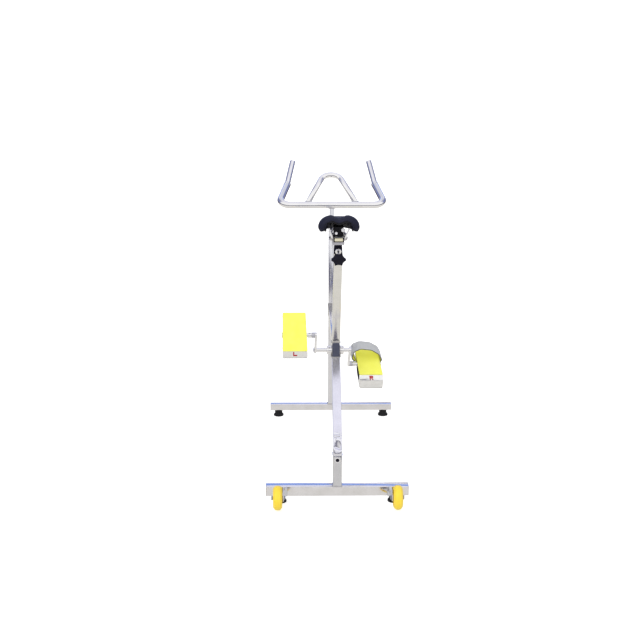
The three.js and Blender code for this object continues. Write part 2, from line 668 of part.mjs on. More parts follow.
function railRoute() {
  const half = [
    [rail.rearSpread, rail.rearEnd, rail.rearHeight],
    [rail.spread, rail.rearBend, rail.height],
    [rail.spread, rail.frontBend, rail.height],
    [rail.noseSpread, rail.noseEnd, rail.noseHeight],
  ];
  const mirrored = half.map(([x, y, z]) => [-x, y, z]).reverse();
  return [...half, ...mirrored];
}
function railTube(radius) {
  return bent(railRoute(), rail.bend, disc(radius, smallSides));
}

// A solid filling under the saddle's crown, drawn in from its surface by the given amounts
function saddleFill({ inX, inTop, below, rearSpare, noseIn, least, steps }) {
  const rows = saddleLengthShares.map((lengthShare, i) => {
    const y = saddle.rear + lengthShare * (saddle.length - noseIn) - (i === 0 ? rearSpare : 0);
    const halfWidth = Math.max(saddle.halfWidth * saddleWidthShares[i] - inX, least);
    const skirt = saddle.skirt + saddle.height * saddleSkirtShares[i];
    const top = saddle.skirt + saddle.height * saddleTopShares[i] - inTop;
    const rise = Math.max(top - skirt, least);
    const dip = inTop === 0 ? saddle.dip * saddleDipShares[i] : 0;
    return { y, halfWidth, skirt, rise, dip };
  });
  const power = 2 / saddleRoundness;
  const points = [];
  for (const { y, halfWidth, skirt, rise, dip } of rows) {
    for (let j = 0; j <= steps; j++) {
      const angle = (Math.PI * j) / steps;
      const x = halfWidth * Math.sign(Math.cos(angle)) * Math.abs(Math.cos(angle)) ** power;
      const lift = rise * Math.abs(Math.sin(angle)) ** power;
      points.push(x, y, skirt + lift - dip * Math.exp(-((x / saddle.dipWidth) ** 2)));
    }
    points.push(-halfWidth, y, skirt - below - fit.touch, halfWidth, y, skirt - below - fit.touch);
  }
  return lofted(points, rows.length, steps + 3);
}
// Closes rows of equal point counts into one body with fanned ends
function lofted(points, rowCount, ringCount) {
  const order = [];
  for (let i = 0; i + 1 < rowCount; i++) {
    for (let j = 0; j < ringCount; j++) {
      const next = (j + 1) % ringCount;
      const [a, b] = [i * ringCount + j, i * ringCount + next];
      const [c, d] = [a + ringCount, b + ringCount];
      order.push(a, c, b, b, c, d);
    }
  }
  const last = (rowCount - 1) * ringCount;
  for (let j = 1; j + 1 < ringCount; j++) {
    order.push(0, j, j + 1);
    order.push(last, last + j + 1, last + j);
  }
  const geometry = new THREE.BufferGeometry();
  geometry.setAttribute('position', new THREE.Float32BufferAttribute(points, 3));
  geometry.setIndex(order);
  return closed(geometry);
}
function addSaddle(group) {
  add(group, 'saddle_rails', railTube(rail.radius), steel);
  const { sideWall, topWall, noseWall, liner, ringSteps, linerSteps } = saddle;
  const spare = { below: fit.overrun, rearSpare: fit.overrun };
  const flush = { below: 0, rearSpare: 0 };
  const crown = saddleFill({ inX: 0, inTop: 0, noseIn: 0, least: liner, steps: ringSteps, ...flush });
  const hollow = saddleFill({
    inX: sideWall, inTop: topWall, noseIn: noseWall, least: 2 * liner, steps: linerSteps, ...spare,
  });
  add(group, 'saddle_cushion', cut(crown, hollow), blackVinyl);
  const [inX, inTop, noseIn] = [sideWall + fit.touch, topWall + fit.touch, noseWall + fit.touch];
  const least = 2 * liner - 2 * fit.touch;
  const filling = saddleFill({ inX, inTop, noseIn, least, steps: linerSteps, ...flush });
  const room = saddleFill({
    inX: inX + liner, inTop: inTop + liner, noseIn: noseIn + liner, least: least - liner,
    steps: linerSteps, ...spare,
  });
  const deep = saddleFill({
    inX, inTop, noseIn, least, steps: linerSteps, below: saddle.height, rearSpare: 0,
  });
  const lumps = [
    [rail.rearSpread, rail.rearEnd, rail.rearHeight],
    [-rail.rearSpread, rail.rearEnd, rail.rearHeight],
    [0, rail.noseEnd, rail.noseHeight],
  ].map(([x, y, z]) => {
    const lump = block(saddle.bossSize, saddle.bossSize, saddle.height);
    return common(lump.translate(x, y, z - saddle.bossDrop + saddle.height / 2), deep);
  });
  const liners = join(cut(filling, room), ...lumps);
  add(group, 'saddle_shell', cut(liners, railTube(rail.radius + fit.touch)), blackPlastic);
}

// Cranks, spindles and pedals
function addCrankset() {
  const arms = [
    { side: 'left', sign: -1, plane: crank.leftPlane, phase: crank.phase, tilt: pedal.leftTilt },
    { side: 'right', sign: 1, plane: crank.rightPlane, phase: crank.phase + Math.PI, tilt: pedal.rightTilt },
  ];
  const centre = groupAt(bike, 0, crankAxle.y, crankAxle.z);
  const axleEnd = crank.thickness / 2 - crank.axleInset;
  const axle = rod(crank.axleRadius, -crank.leftPlane - axleEnd, crank.rightPlane + axleEnd);
  add(centre, 'crank_axle', axle, darkSteel);
  for (const { side, sign, plane, phase, tilt } of arms) {
    const arm = groupAt(centre, sign * plane, 0, 0);
    add(arm, `crank_${side}`, sideways(crankOutline(), crank.thickness), steel).rotation.x = phase;
    add(arm, `crank_bolt_${side}`, crankBolt(sign), darkSteel);
    const pivot = groupAt(arm, 0, crank.length * Math.cos(phase), crank.length * Math.sin(phase));
    add(pivot, `pedal_spindle_${side}`, pedalSpindle(sign), steel);
    const pedalOffset = crank.thickness / 2 + pedal.gapToCrank + pedal.width / 2;
    const body = groupAt(pivot, sign * pedalOffset, 0, 0);
    body.rotation.x = tilt;
    addPedal(body, side, sign);
  }
}
function crankOutline() {
  const slant = Math.asin((crank.bossRadius - crank.endRadius) / crank.length);
  const outline = new THREE.Shape();
  outline.absarc(0, 0, crank.bossRadius, Math.PI / 2 - slant, Math.PI * 1.5 + slant);
  outline.absarc(crank.length, 0, crank.endRadius, slant - Math.PI / 2, Math.PI / 2 - slant);
  const bare = new THREE.Shape(outline.extractPoints(roundSides / 2).shape);
  bare.holes.push(new THREE.Path(circlePoints(crank.axleRadius + fit.touch, roundSides)));
  const eye = circlePoints(spindle.radius + fit.touch, roundSides);
  bare.holes.push(new THREE.Path(eye.map(({ x, y }) => new THREE.Vector2(x + crank.length, y))));
  return bare;
}
function crankBolt(sign) {
  const face = crank.thickness / 2;
  return join(
    rod(crank.washerRadius, sign * face, sign * (face + crank.washer)),
    rod(crank.boltRadius, sign * face, sign * (face + crank.boltHead), hexSides),
  );
}
function pedalSpindle(sign) {
  const face = crank.thickness / 2;
  const collar = face + fit.touch;
  const collarEnd = collar + spindle.collarLength;
  const end = face + pedal.gapToCrank + pedal.width - spindle.endInset;
  const profile = [
    [-face, 0], [-face, spindle.radius], [collar, spindle.radius], [collar, spindle.collarRadius],
    [collarEnd, spindle.collarRadius], [collarEnd, spindle.radius], [end, spindle.radius], [end, 0],
  ];
  return turned(profile.map(([along, radius]) => [sign * along, radius]));
}

// A pedal in its own frame: the spindle on the X axis, the toe towards +Y, the pad on top. The right box
// is slanted: its toe lies nearer the crank, and what is fixed to it is slanted with it
function addPedal(group, side, sign) {
  const slant = side === 'right' ? Math.tan(pedal.rightSlant) : 0;
  const slanted = (solid) => solid.applyMatrix4(new THREE.Matrix4().makeShear(0, 0, -slant, 0, 0, 0));
  add(group, `pedal_box_${side}`, slanted(pedalBox(sign)), steel);
  add(group, `pedal_pad_${side}`, slanted(pedalPad(sign)), yellowFoam);
  add(group, `pedal_bearing_tube_${side}`, pedalTube(sign, slant), steel);
  add(group, `pedal_mark_${side}`, slanted(pedalMark(side)), redPaint);
  if (side === 'right') add(group, 'pedal_strap_right', slanted(pedalStrap(sign)), greyWebbing);
}
function pedalPlan(sign, rear, inset) {
  const rearEnd = pedal.heel + pedal.bevelRun;
  const narrowing = (y) => (pedal.toeNarrowing * (y + rearEnd)) / (pedal.toe + rearEnd);
  const [front, back] = [pedal.toe - inset, inset - rear];
  const outer = sign * (pedal.width / 2 - inset);
  const inner = (y) => -sign * (pedal.width / 2 - inset - narrowing(y));
  return [[outer, back], [outer, front], [inner(front), front], [inner(back), back]];
}
function pedalSideView(inset, below) {
  const boxTop = pedal.topFace - pedal.pad - fit.touch;
  const bevel = Math.atan2(pedal.bevelDrop, pedal.bevelRun);
  const rear = -pedal.heel - pedal.bevelRun + inset;
  const bevelTop = -pedal.heel + inset * Math.tan(bevel / 2);
  const bevelBottom = boxTop - pedal.bevelDrop - inset * Math.tan(Math.PI / 4 - bevel / 2);
  const floor = boxTop - pedal.bevelDrop - pedal.rearWall - below;
  const toeBottom = boxTop - pedal.toeWall - below;
  return new THREE.Shape([
    new THREE.Vector2(pedal.toe - inset, boxTop - inset),
    new THREE.Vector2(bevelTop, boxTop - inset),
    new THREE.Vector2(rear, bevelBottom),
    new THREE.Vector2(rear, floor),
    new THREE.Vector2(-pedal.heel - pedal.bevelRun + pedal.floorRun, floor),
    new THREE.Vector2(pedal.toe - inset, toeBottom),
  ]);
}
function pedalBox(sign) {
  const rearEnd = pedal.heel + pedal.bevelRun;
  const tall = 4 * rearEnd;
  const planSolid = (inset) => upright(easedShape(pedalPlan(sign, rearEnd, inset), pedal.corner), tall)
    .translate(0, 0, -tall / 2);
  const outer = common(sideways(pedalSideView(0, 0), 2 * pedal.width), planSolid(0));
  const innerSide = sideways(pedalSideView(pedal.sheet, rearEnd), 2 * pedal.width);
  const inner = common(innerSide, planSolid(pedal.sheet));
  const tubeHole = rod(spindle.tubeRadius + fit.touch, -pedal.width, pedal.width);
  return cut(outer, inner, tubeHole);
}
function pedalPad(sign) {
  const { pad, padEdge, topFace } = pedal;
  const outline = easedShape(pedalPlan(sign, pedal.heel, 0), pedal.corner);
  return new THREE.ExtrudeGeometry(outline, {
    depth: pad - 2 * padEdge, bevelEnabled: true, bevelThickness: padEdge, bevelSize: padEdge,
    bevelOffset: -padEdge, bevelSegments: 2, curveSegments: wideCornerSteps,
  }).translate(0, 0, topFace - pad + padEdge);
}
function pedalTube(sign, slant) {
  const half = pedal.width / 2;
  const bore = spindle.radius + fit.touch;
  const innerEnd = -(half + pedal.gapToCrank - spindle.collarLength - 2 * fit.touch);
  const seat = half + fit.touch + slant * spindle.endCapRadius;
  const profile = [
    [half, 0], [half, bore], [innerEnd, bore], [innerEnd, spindle.hubRadius], [-seat, spindle.hubRadius],
    [-seat, spindle.tubeRadius], [seat, spindle.tubeRadius], [seat, spindle.endCapRadius],
    [seat + spindle.endCap, spindle.endCapRadius], [seat + spindle.endCap, 0],
  ];
  return turned(profile.map(([along, radius]) => [sign * along, radius]));
}
// The raised letter lies on the bevelled facet behind the pad
function pedalMark(side) {
  const bevel = Math.atan2(pedal.bevelDrop, pedal.bevelRun);
  const letter = side === 'left' ? letterL() : letterR();
  letter.translate(-mark.width / 2, -mark.height / 2, fit.touch).rotateX(bevel);
  const boxTop = pedal.topFace - pedal.pad - fit.touch;
  return letter.translate(0, -pedal.heel - pedal.bevelRun / 2, boxTop - pedal.bevelDrop / 2);
}
function strokeBlock(x, y, width, height) {
  return block(width, height, mark.raise).translate(x + width / 2, y + height / 2, mark.raise / 2);
}
function letterL() {
  return join(
    strokeBlock(0, 0, mark.stroke, mark.height),
    strokeBlock(0, 0, mark.width, mark.stroke),
  );
}
function letterR() {
  const { width, height, stroke, raise } = mark;
  const middle = height * mark.middleShare;
  const eye = block(width - 2 * stroke, height - middle - 2 * stroke, 4 * raise)
    .translate(width / 2, (height + middle) / 2, 0);
  const bowl = cut(
    upright(easedShape([[0, middle], [width, middle], [width, height], [0, height]], stroke), raise),
    eye,
  );
  const legTop = width * mark.legShare;
  const leg = new THREE.Shape([
    new THREE.Vector2(width - stroke, 0),
    new THREE.Vector2(width, 0),
    new THREE.Vector2(legTop + stroke, middle + stroke / 2),
    new THREE.Vector2(legTop, middle + stroke / 2),
  ]);
  return join(strokeBlock(0, 0, stroke, height), bowl, upright(leg, raise));
}
// The strap rises beside the crank, arches over the foot and comes down outside the pad
function pedalStrap(sign) {
  const middle = strap.rearEdge + strap.width / 2;
  const lift = fit.touch + strap.thickness / 2;
  const rearEnd = pedal.heel + pedal.bevelRun;
  const taper = (pedal.toeNarrowing * (strap.rearEdge + rearEnd)) / (pedal.toe + rearEnd);
  const inner = -(pedal.width / 2 - taper + lift);
  const outer = pedal.width / 2 + lift;
  const arch = strapSideShares.map((share, i) => [share * strap.side, strapRiseShares[i] * strap.rise]);
  const corners = [
    [inner, -strap.bottom],
    [inner, -strap.foot],
    ...arch,
    [outer, -strap.foot],
    [outer, -strap.bottom],
  ].map(([x, z]) => [sign * x, middle, z]);
  return bent(corners, strap.bend, rectangle(strap.width, strap.thickness, strap.corner));
}

// Handlebar: stem, bent main bar with two horns, and the middle hoop
function addHandlebar() {
  const group = groupAt(bike, 0, mastPlace, bar.height);
  const stemLength = bar.height - mast.top + stem.inside;
  const section = tubeSection(stem.size, stem.size, stem.wall, stem.corner);
  const saddleCut = rod(bar.radius + fit.touch, -2 * stem.size, 2 * stem.size);
  const tube = upright(section, stemLength).translate(0, 0, -stemLength);
  add(group, 'handlebar_stem', cut(tube, saddleCut), steel);
  add(group, 'handlebar_bar', handlebarBar(), steel);
  add(group, 'handlebar_hoop', handlebarHoop(), steel);
}
function handlebarBar() {
  const elbow = (sign) => new THREE.Vector3(sign * bar.elbowSide, bar.elbowForward, bar.elbowRise);
  const tip = (sign) => new THREE.Vector3(sign * bar.tipSide, bar.tipForward, bar.tipRise);
  const corner = (sign) => new THREE.Vector3(sign * bar.side, 0, 0);
  const main = [elbow(-1), corner(-1), corner(1), elbow(1)];
  const run = (radius, corners) => bent(corners.map((place) => place.toArray()), bar.bend, disc(radius));
  const past = (from, to, extra) => to.clone().add(to.clone().sub(from).setLength(extra));
  const outers = [];
  const inners = [run(bar.radius - bar.wall, main)];
  for (const { sign } of sides) {
    const arm = elbow(sign).sub(corner(sign)).normalize();
    const hornFrom = past(tip(sign), elbow(sign), bar.hornSink);
    outers.push(run(bar.hornRadius, [hornFrom, tip(sign)]));
    inners.push(run(bar.hornRadius - bar.wall, [elbow(sign), past(elbow(sign), tip(sign), fit.overrun)]));
    const ringFrom = elbow(sign).addScaledVector(arm, -bar.ringLength / 2);
    const ringTo = elbow(sign).addScaledVector(arm, bar.ringLength / 2);
    outers.push(run(bar.radius + bar.ringLip, [ringFrom, ringTo]));
  }
  return cut(join(run(bar.radius, main), ...outers), ...inners);
}
function handlebarHoop() {
  const corners = [
    [-hoop.halfBase, 0], [-hoop.halfTop, hoop.reach], [hoop.halfTop, hoop.reach], [hoop.halfBase, 0],
  ].map(([x, along]) => [x, along * Math.cos(hoop.tilt), along * Math.sin(hoop.tilt)]);
  const tube = bent(corners, hoop.bend, ring(hoop.radius, hoop.wall));
  return cut(tube, rod(bar.radius + fit.touch, -2 * hoop.halfBase, 2 * hoop.halfBase));
}

addBase();
addTransportWheels();
addRearPost();
addRearStrut();
addMainBeam();
addBottomBracket();
addMast();
addSeatTube();
const saddleGroup = groupAt(bike, 0, mountPlace.y, mountPlace.z);
addSaddleMount(saddleGroup);
addSaddleClamp(saddleGroup);
addSaddle(saddleGroup);
addCrankset();
addHandlebar();

// The origin goes under the middle of the whole bike
const root = new THREE.Group();
root.add(bike);
root.updateMatrixWorld(true);
const bounds = new THREE.Box3().setFromObject(root, true);
bike.position.y = -(bounds.min.y + bounds.max.y) / 2;
root.updateMatrixWorld(true);

export default root;
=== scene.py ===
# %% [markdown]
# An aqua bike for a pool: a welded stainless frame on two base bars, a padded saddle, two foam-topped
# pedals and a bent handlebar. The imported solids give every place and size. This lesson dresses them:
# flat-sided tubes keep their solid and get soft edges, and round or soft pieces are made anew.

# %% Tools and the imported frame
import json
import math
from types import SimpleNamespace as Sizes

import bmesh
import bpy
from mathutils import Matrix, Vector
from mathutils.bvhtree import BVHTree


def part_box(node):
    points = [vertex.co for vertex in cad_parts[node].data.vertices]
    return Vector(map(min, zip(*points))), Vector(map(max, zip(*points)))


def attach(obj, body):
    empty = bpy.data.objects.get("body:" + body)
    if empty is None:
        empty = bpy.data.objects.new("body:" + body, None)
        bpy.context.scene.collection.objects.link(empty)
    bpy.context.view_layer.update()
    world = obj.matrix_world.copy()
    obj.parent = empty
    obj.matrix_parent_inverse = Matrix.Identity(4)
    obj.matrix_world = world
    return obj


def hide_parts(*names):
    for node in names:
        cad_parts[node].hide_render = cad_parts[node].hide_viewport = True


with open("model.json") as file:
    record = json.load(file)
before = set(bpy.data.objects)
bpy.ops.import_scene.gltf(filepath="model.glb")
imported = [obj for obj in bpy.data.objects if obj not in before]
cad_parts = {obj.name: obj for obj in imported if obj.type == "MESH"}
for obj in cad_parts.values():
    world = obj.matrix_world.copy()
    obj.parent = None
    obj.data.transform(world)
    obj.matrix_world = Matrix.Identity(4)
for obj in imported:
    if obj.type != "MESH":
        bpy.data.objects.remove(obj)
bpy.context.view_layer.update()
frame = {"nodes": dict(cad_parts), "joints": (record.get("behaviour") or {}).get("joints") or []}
nodes = frame["nodes"]
scene = bpy.context.scene
print("solids loaded:", len(nodes))

# %% [markdown]
# Every form below is worked out in millimetres and turned into metres in one place. The places come
# from the joints and from the boxes of the solids, so that a piece lies where its solid lies.

# %% Millimetres, directions and places
MM = 0.001
ACROSS = Vector((1, 0, 0))
FORWARD = Vector((0, 1, 0))
UP = Vector((0, 0, 1))
SIDES = {"left": -1, "right": 1}

# Steps round a piece or along a bend, enough that no outline looks cornered
facets = Sizes(
    turned=48, rod=36, circle=28, wheel=72, notched=96, bar=40, hoop=36, rail=20, piping=10, cord=8,
    small=24, least=6, corner=5, bend=10, wide_bend=16, elbow=24,
)


def joint(name):
    return next(found for found in frame["joints"] if found["name"] == name)


def joint_place(name):
    return Vector(joint(name)["pos_m"]) / MM


def node_box(name):
    low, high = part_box(name)
    return low / MM, high / MM


crank_centre = joint_place("crank_spin")
print("crank axle, mm:", [round(v, 1) for v in crank_centre])

# %% [markdown]
# A form is a list of points and a list of faces. Four ways of making one are enough here: joining rings
# of points, turning a profile about an axis, sweeping a section along a path, and raising a flat outline.

# %% Joining rings of points
def loft(rings, round_ring=True, round_path=False, caps=True):
    count = len(rings[0])
    points = [point for ring in rings for point in ring]
    faces = []
    steps = len(rings) if round_path else len(rings) - 1
    for i in range(steps):
        here = i * count
        there = ((i + 1) % len(rings)) * count
        for j in range(count if round_ring else count - 1):
            after = (j + 1) % count
            faces.append((here + j, here + after, there + after, there + j))
    if caps and not round_path:
        last = (len(rings) - 1) * count
        faces.append(tuple(reversed(range(count))))
        faces.append(tuple(last + j for j in range(count)))
    return points, faces


def together(*forms):
    points, faces = [], []
    for form_points, form_faces in forms:
        start = len(points)
        points.extend(form_points)
        faces.extend(tuple(start + index for index in face) for face in form_faces)
    return points, faces


def placed(form, place):
    points, faces = form
    return [place @ point for point in points], faces


print("helpers:", loft.__name__, together.__name__, placed.__name__)

# %% Turning a profile about an axis
def square_to(axis):
    helper = ACROSS if abs(axis.dot(ACROSS)) < abs(axis.dot(UP)) else UP
    first = axis.cross(helper).normalized()
    return first, axis.cross(first)


def ring_about(origin, axis, along, reach_of, sides):
    first, second = square_to(axis)
    ring = []
    for k in range(sides):
        angle = 2 * math.pi * k / sides
        out = first * math.cos(angle) + second * math.sin(angle)
        ring.append(origin + axis * along + out * reach_of(angle))
    return ring


def turned(profile, origin, axis, sides=facets.turned):
    rings = [ring_about(origin, axis, along, lambda angle: radius, sides) for along, radius in profile]
    on_axis = profile[0][1] == 0 and profile[-1][1] == 0
    return loft(rings, round_path=not on_axis, caps=False)


def rod(radius, low, high, origin, axis, sides=facets.rod):
    return turned([(low, 0), (low, radius), (high, radius), (high, 0)], origin, axis, sides)


print("helpers:", turned.__name__, rod.__name__)

# %% Paths with round bends, and sections swept along them
def bent_path(corners, bend, steps=facets.bend):
    corners = [Vector(corner) for corner in corners]
    path = [corners[0]]
    for before, corner, after in zip(corners, corners[1:], corners[2:]):
        inward = (corner - before).normalized()
        outward = (after - corner).normalized()
        turn = inward.angle(outward)
        reach = bend * math.tan(turn / 2)
        start = corner - inward * reach
        side = (outward - inward * outward.dot(inward)).normalized()
        for k in range(steps + 1):
            angle = turn * k / steps
            path.append(start + inward * bend * math.sin(angle) + side * bend * (1 - math.cos(angle)))
    path.append(corners[-1])
    return path


def headings(path, loop):
    found = []
    for i, point in enumerate(path):
        before = path[i - 1] if i or loop else point
        after = path[(i + 1) % len(path)] if i + 1 < len(path) or loop else point
        found.append((after - before).normalized())
    return found


def swept(path, section, side=None, loop=False, scale=None):
    ways = headings(path, loop)
    lateral = side or square_to(ways[0])[0]
    rings = []
    for i, (point, way) in enumerate(zip(path, ways)):
        lateral = (lateral - way * lateral.dot(way)).normalized()
        over = way.cross(lateral)
        size = scale(i) if scale else 1
        rings.append([point + (lateral * u + over * v) * size for u, v in section])
    return loft(rings, round_path=loop, caps=not loop)


def circle(radius, sides=facets.circle):
    turns = [2 * math.pi * k / sides for k in range(sides)]
    return [(radius * math.cos(angle), radius * math.sin(angle)) for angle in turns]


print("helpers:", bent_path.__name__, swept.__name__, circle.__name__)

# %% Outlines with eased corners, and slabs raised from them
def eased(corners, ease, steps=facets.corner):
    outline = []
    for i, corner in enumerate(corners):
        here = Vector(corner)
        before = here + (Vector(corners[i - 1]) - here).normalized() * ease
        after = here + (Vector(corners[(i + 1) % len(corners)]) - here).normalized() * ease
        for k in range(steps + 1):
            t = k / steps
            outline.append(before * (1 - t) ** 2 + here * 2 * t * (1 - t) + after * t**2)
    return outline


def box_outline(width, height, corner):
    w, h = width / 2, height / 2
    return eased([(-w, -h), (w, -h), (w, h), (-w, h)], corner)


def slab(outline, low, high, origin, first, second):
    normal = first.cross(second)
    rings = [
        [origin + first * x + second * y + normal * level for x, y in outline] for level in (low, high)
    ]
    return loft(rings)


def hexagon(radius, low, high, origin, axis):
    return slab(circle(radius, facets.least), low, high, origin, *square_to(axis))


print("helpers:", eased.__name__, slab.__name__, hexagon.__name__)

# %% [markdown]
# One function turns a form into a piece of the scene: it welds doubled points, turns the faces outwards,
# hangs the piece on its body, and rounds its sharp edges with a small bevel, because no real edge is
# sharp enough to catch no light. The edges could be rounded in each form instead, but a bevel modifier
# does it for all of them by one width. A second function says what each step has made.

# %% From a form to a piece
weld_gap = 0.002
bevel_angle = math.radians(32)
made = []


def soften(piece, edge, segments=2):
    bevel = piece.modifiers.new("edges", "BEVEL")
    bevel.width = edge * MM
    bevel.segments = segments
    bevel.limit_method = "ANGLE"
    bevel.angle_limit = bevel_angle
    bevel.harden_normals = True
    return piece


def add_piece(name, form, finish, body, replaces=(), edge=0):
    points, faces = form
    mesh = bpy.data.meshes.new(name)
    mesh.from_pydata([tuple(Vector(point) * MM) for point in points], [], faces)
    shape = bmesh.new()
    shape.from_mesh(mesh)
    bmesh.ops.remove_doubles(shape, verts=shape.verts, dist=weld_gap * MM)
    bmesh.ops.recalc_face_normals(shape, faces=shape.faces)
    for face in shape.faces:
        face.smooth = True
    shape.to_mesh(mesh)
    shape.free()
    mesh.materials.append(finish)
    piece = bpy.data.objects.new(name, mesh)
    scene.collection.objects.link(piece)
    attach(piece, body)
    if replaces:
        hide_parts(*replaces)
    if edge:
        soften(piece, edge)
    made.append(name)
    return piece


def tell(step):
    print(f"{step}:", ", ".join(made))
    made.clear()


print("edges sharper than, degrees:", round(math.degrees(bevel_angle)))

# %% [markdown]
# The camera stands where the photograph was taken: about five metres behind the bike, a little to the
# left and looking down by nearly 17 degrees. Its place and lens were worked out from the bars and tubes.
# Its matrix is built from three directions, because that keeps each angle readable.

# %% The camera
view = Sizes(
    place=Vector((-156, -5002.4, 2094)), down=math.radians(16.8), yaw=math.radians(1.11),
    roll=math.radians(0.18), lens=69.92, sensor=36,
)
ahead = Vector((
    math.sin(view.yaw) * math.cos(view.down),
    math.cos(view.yaw) * math.cos(view.down),
    -math.sin(view.down),
))
level_right = Vector((math.cos(view.yaw), -math.sin(view.yaw), 0))
level_up = level_right.cross(ahead)
right = level_right * math.cos(view.roll) + level_up * math.sin(view.roll)
above = level_up * math.cos(view.roll) - level_right * math.sin(view.roll)
camera_data = bpy.data.cameras.new("camera")
camera_data.lens = view.lens
camera_data.sensor_width = view.sensor
camera = bpy.data.objects.new("camera", camera_data)
camera.matrix_world = (
    Matrix.Translation(view.place * MM) @ Matrix((right, above, -ahead)).transposed().to_4x4()
)
scene.collection.objects.link(camera)
scene.camera = camera
print("camera looks along", [round(v, 3) for v in ahead])

# %% [markdown]
# Materials are small graphs of nodes. One function adds a node with its settings and links, and one turns
# an sRGB colour into the linear light that the shader needs. Pattern sizes are given in millimetres. Three
# more let a pattern drive the colour, the roughness and the relief, since every finish needs all three.

# %% Colours in linear light
# The sRGB curve is straight below its cut and a power above it
srgb = Sizes(levels=255, cut=0.04045, slope=12.92, lift=0.055, power=2.4)


def linear_share(share):
    if share <= srgb.cut:
        return share / srgb.slope
    return ((share + srgb.lift) / (1 + srgb.lift)) ** srgb.power


def linear(hex_colour):
    shares = [int(hex_colour[i : i + 2], 16) / srgb.levels for i in (1, 3, 5)]
    return (*map(linear_share, shares), 1)


print("mid grey in linear light:", [round(v, 3) for v in linear("#808080")])


# %% Nodes and pattern sizes
def add_node(tree, kind, inputs=None, **settings):
    node = tree.nodes.new(kind)
    for name, value in settings.items():
        setattr(node, name, value)
    for socket, value in (inputs or {}).items():
        if isinstance(value, bpy.types.NodeSocket):
            tree.links.new(value, node.inputs[socket])
        else:
            node.inputs[socket].default_value = value
    return node


def per_metre(pattern_mm):
    return 1 / (pattern_mm * MM)


# The wave texture draws this many radians of wave along each unit
wave_radians = 20


def wave_scale(pitch):
    return 2 * math.pi / (wave_radians * pitch)


def new_material(name):
    material = bpy.data.materials.new(name)
    material.use_nodes = True
    tree = material.node_tree
    tree.nodes.clear()
    shader = add_node(tree, "ShaderNodeBsdfPrincipled")
    add_node(tree, "ShaderNodeOutputMaterial", {"Surface": shader.outputs["BSDF"]})
    place = add_node(tree, "ShaderNodeTexCoord").outputs["Object"]
    return material, tree, shader, place


print("scale of a 2 mm pattern:", per_metre(2))

# %% Colour, roughness and relief from a pattern
# Places of the sockets on a colour mix
mixing = Sizes(share=0, low=6, high=7, result=2)


# Colour between two shades, set by a pattern
def tint(tree, shader, pattern, low, high):
    shades = {mixing.share: pattern, mixing.low: linear(low), mixing.high: linear(high)}
    mix = add_node(tree, "ShaderNodeMix", shades, data_type="RGBA")
    tree.links.new(mix.outputs[mixing.result], shader.inputs["Base Color"])


# Roughness between two values, set by a pattern
def dull(tree, shader, pattern, low, high):
    spread = add_node(tree, "ShaderNodeMapRange", {"Value": pattern, "To Min": low, "To Max": high})
    tree.links.new(spread.outputs["Result"], shader.inputs["Roughness"])


# Relief of a given depth in millimetres
def relief(tree, shader, pattern, depth, under=None):
    inputs = {"Height": pattern, "Distance": depth * MM, "Strength": 1}
    if under:
        inputs["Normal"] = under.outputs["Normal"]
    bump = add_node(tree, "ShaderNodeBump", inputs)
    tree.links.new(bump.outputs["Normal"], shader.inputs["Normal"])
    return bump


print("sockets of a colour mix:", mixing.share, mixing.low, mixing.high)

# %% [markdown]
# The frame is AISI 304 stainless tube, ground and then polished. It gives the eye sharp reflections drawn
# out a little along the tube, faint cloudiness from the polishing mop, and small waves where the wall is
# not quite flat. The grain follows each tube, so the pattern is turned with it. An anisotropic shader
# could draw the streaks too, but real relief keeps them when the model is looked at from close by.

# %% Polished stainless tube
grain = Sizes(across=0.9, along=45, cloud=38, wave=70, line_depth=0.003, wave_depth=0.16)


def polished_stainless(name, low, high, turn=(0, 0, 0), smooth=0.1, rough=0.2):
    material, tree, shader, place = new_material(name)
    turned_place = add_node(tree, "ShaderNodeMapping", {"Vector": place, "Rotation": turn})
    stretch = (per_metre(grain.across), per_metre(grain.across), per_metre(grain.along))
    drawn = add_node(
        tree, "ShaderNodeMapping", {"Vector": turned_place.outputs["Vector"], "Scale": stretch}
    )
    lines = add_node(
        tree, "ShaderNodeTexNoise", {"Vector": drawn.outputs["Vector"], "Scale": 1, "Detail": 3}
    )
    cloud = add_node(
        tree, "ShaderNodeTexNoise", {"Vector": place, "Scale": per_metre(grain.cloud), "Detail": 4}
    )
    wave = add_node(
        tree, "ShaderNodeTexNoise", {"Vector": place, "Scale": per_metre(grain.wave), "Detail": 1}
    )
    tint(tree, shader, cloud.outputs["Fac"], low, high)
    dull(tree, shader, lines.outputs["Fac"], smooth, rough)
    waves = relief(tree, shader, wave.outputs["Fac"], grain.wave_depth)
    relief(tree, shader, lines.outputs["Fac"], grain.line_depth, waves)
    shader.inputs["Metallic"].default_value = 1
    return material


print("grain of the tubes, mm:", grain.across, "by", grain.along)

# %% Stainless finishes of the frame
# One steel gets a separate tint for each group of tubes: these lighter, darker, warmer and colder tints are
# painted light, shade and reflection, not colours of the steel
lean = Sizes(
    seat=math.radians(24), strut=math.radians(-45), level=math.radians(90), fall=math.radians(2.3)
)
crosswise = (0, lean.level, 0)
lengthwise = (lean.level + lean.fall, 0, 0)
# Rear post, stem and brackets: a cool grey tint a little darker than the rest, which is painted shade
stainless_upright = polished_stainless("stainless_upright", "#cfd0d4", "#e6e6ec")
# Front mast: the same cool grey tint one step brighter, which is painted light
stainless_mast = polished_stainless("stainless_mast", "#dcdce0", "#f2f2f7")
# Base bars and end caps: a bright tint, which is painted light, with the grain lying across the bike
stainless_sideways = polished_stainless("stainless_sideways", "#dedcdc", "#f6f4f8", crosswise)
# Beam, mount and cheeks: a warm grey tint, which is painted reflection and shade, with the grain running
# forward
stainless_forward = polished_stainless("stainless_forward", "#cfcdcb", "#e6e4e6", lengthwise)
# Seat tube and seat post: a warm, bright tint, which is painted reflection
stainless_leaning = polished_stainless("stainless_leaning", "#e3e2dd", "#f3f1ed", (-lean.seat, 0, 0))
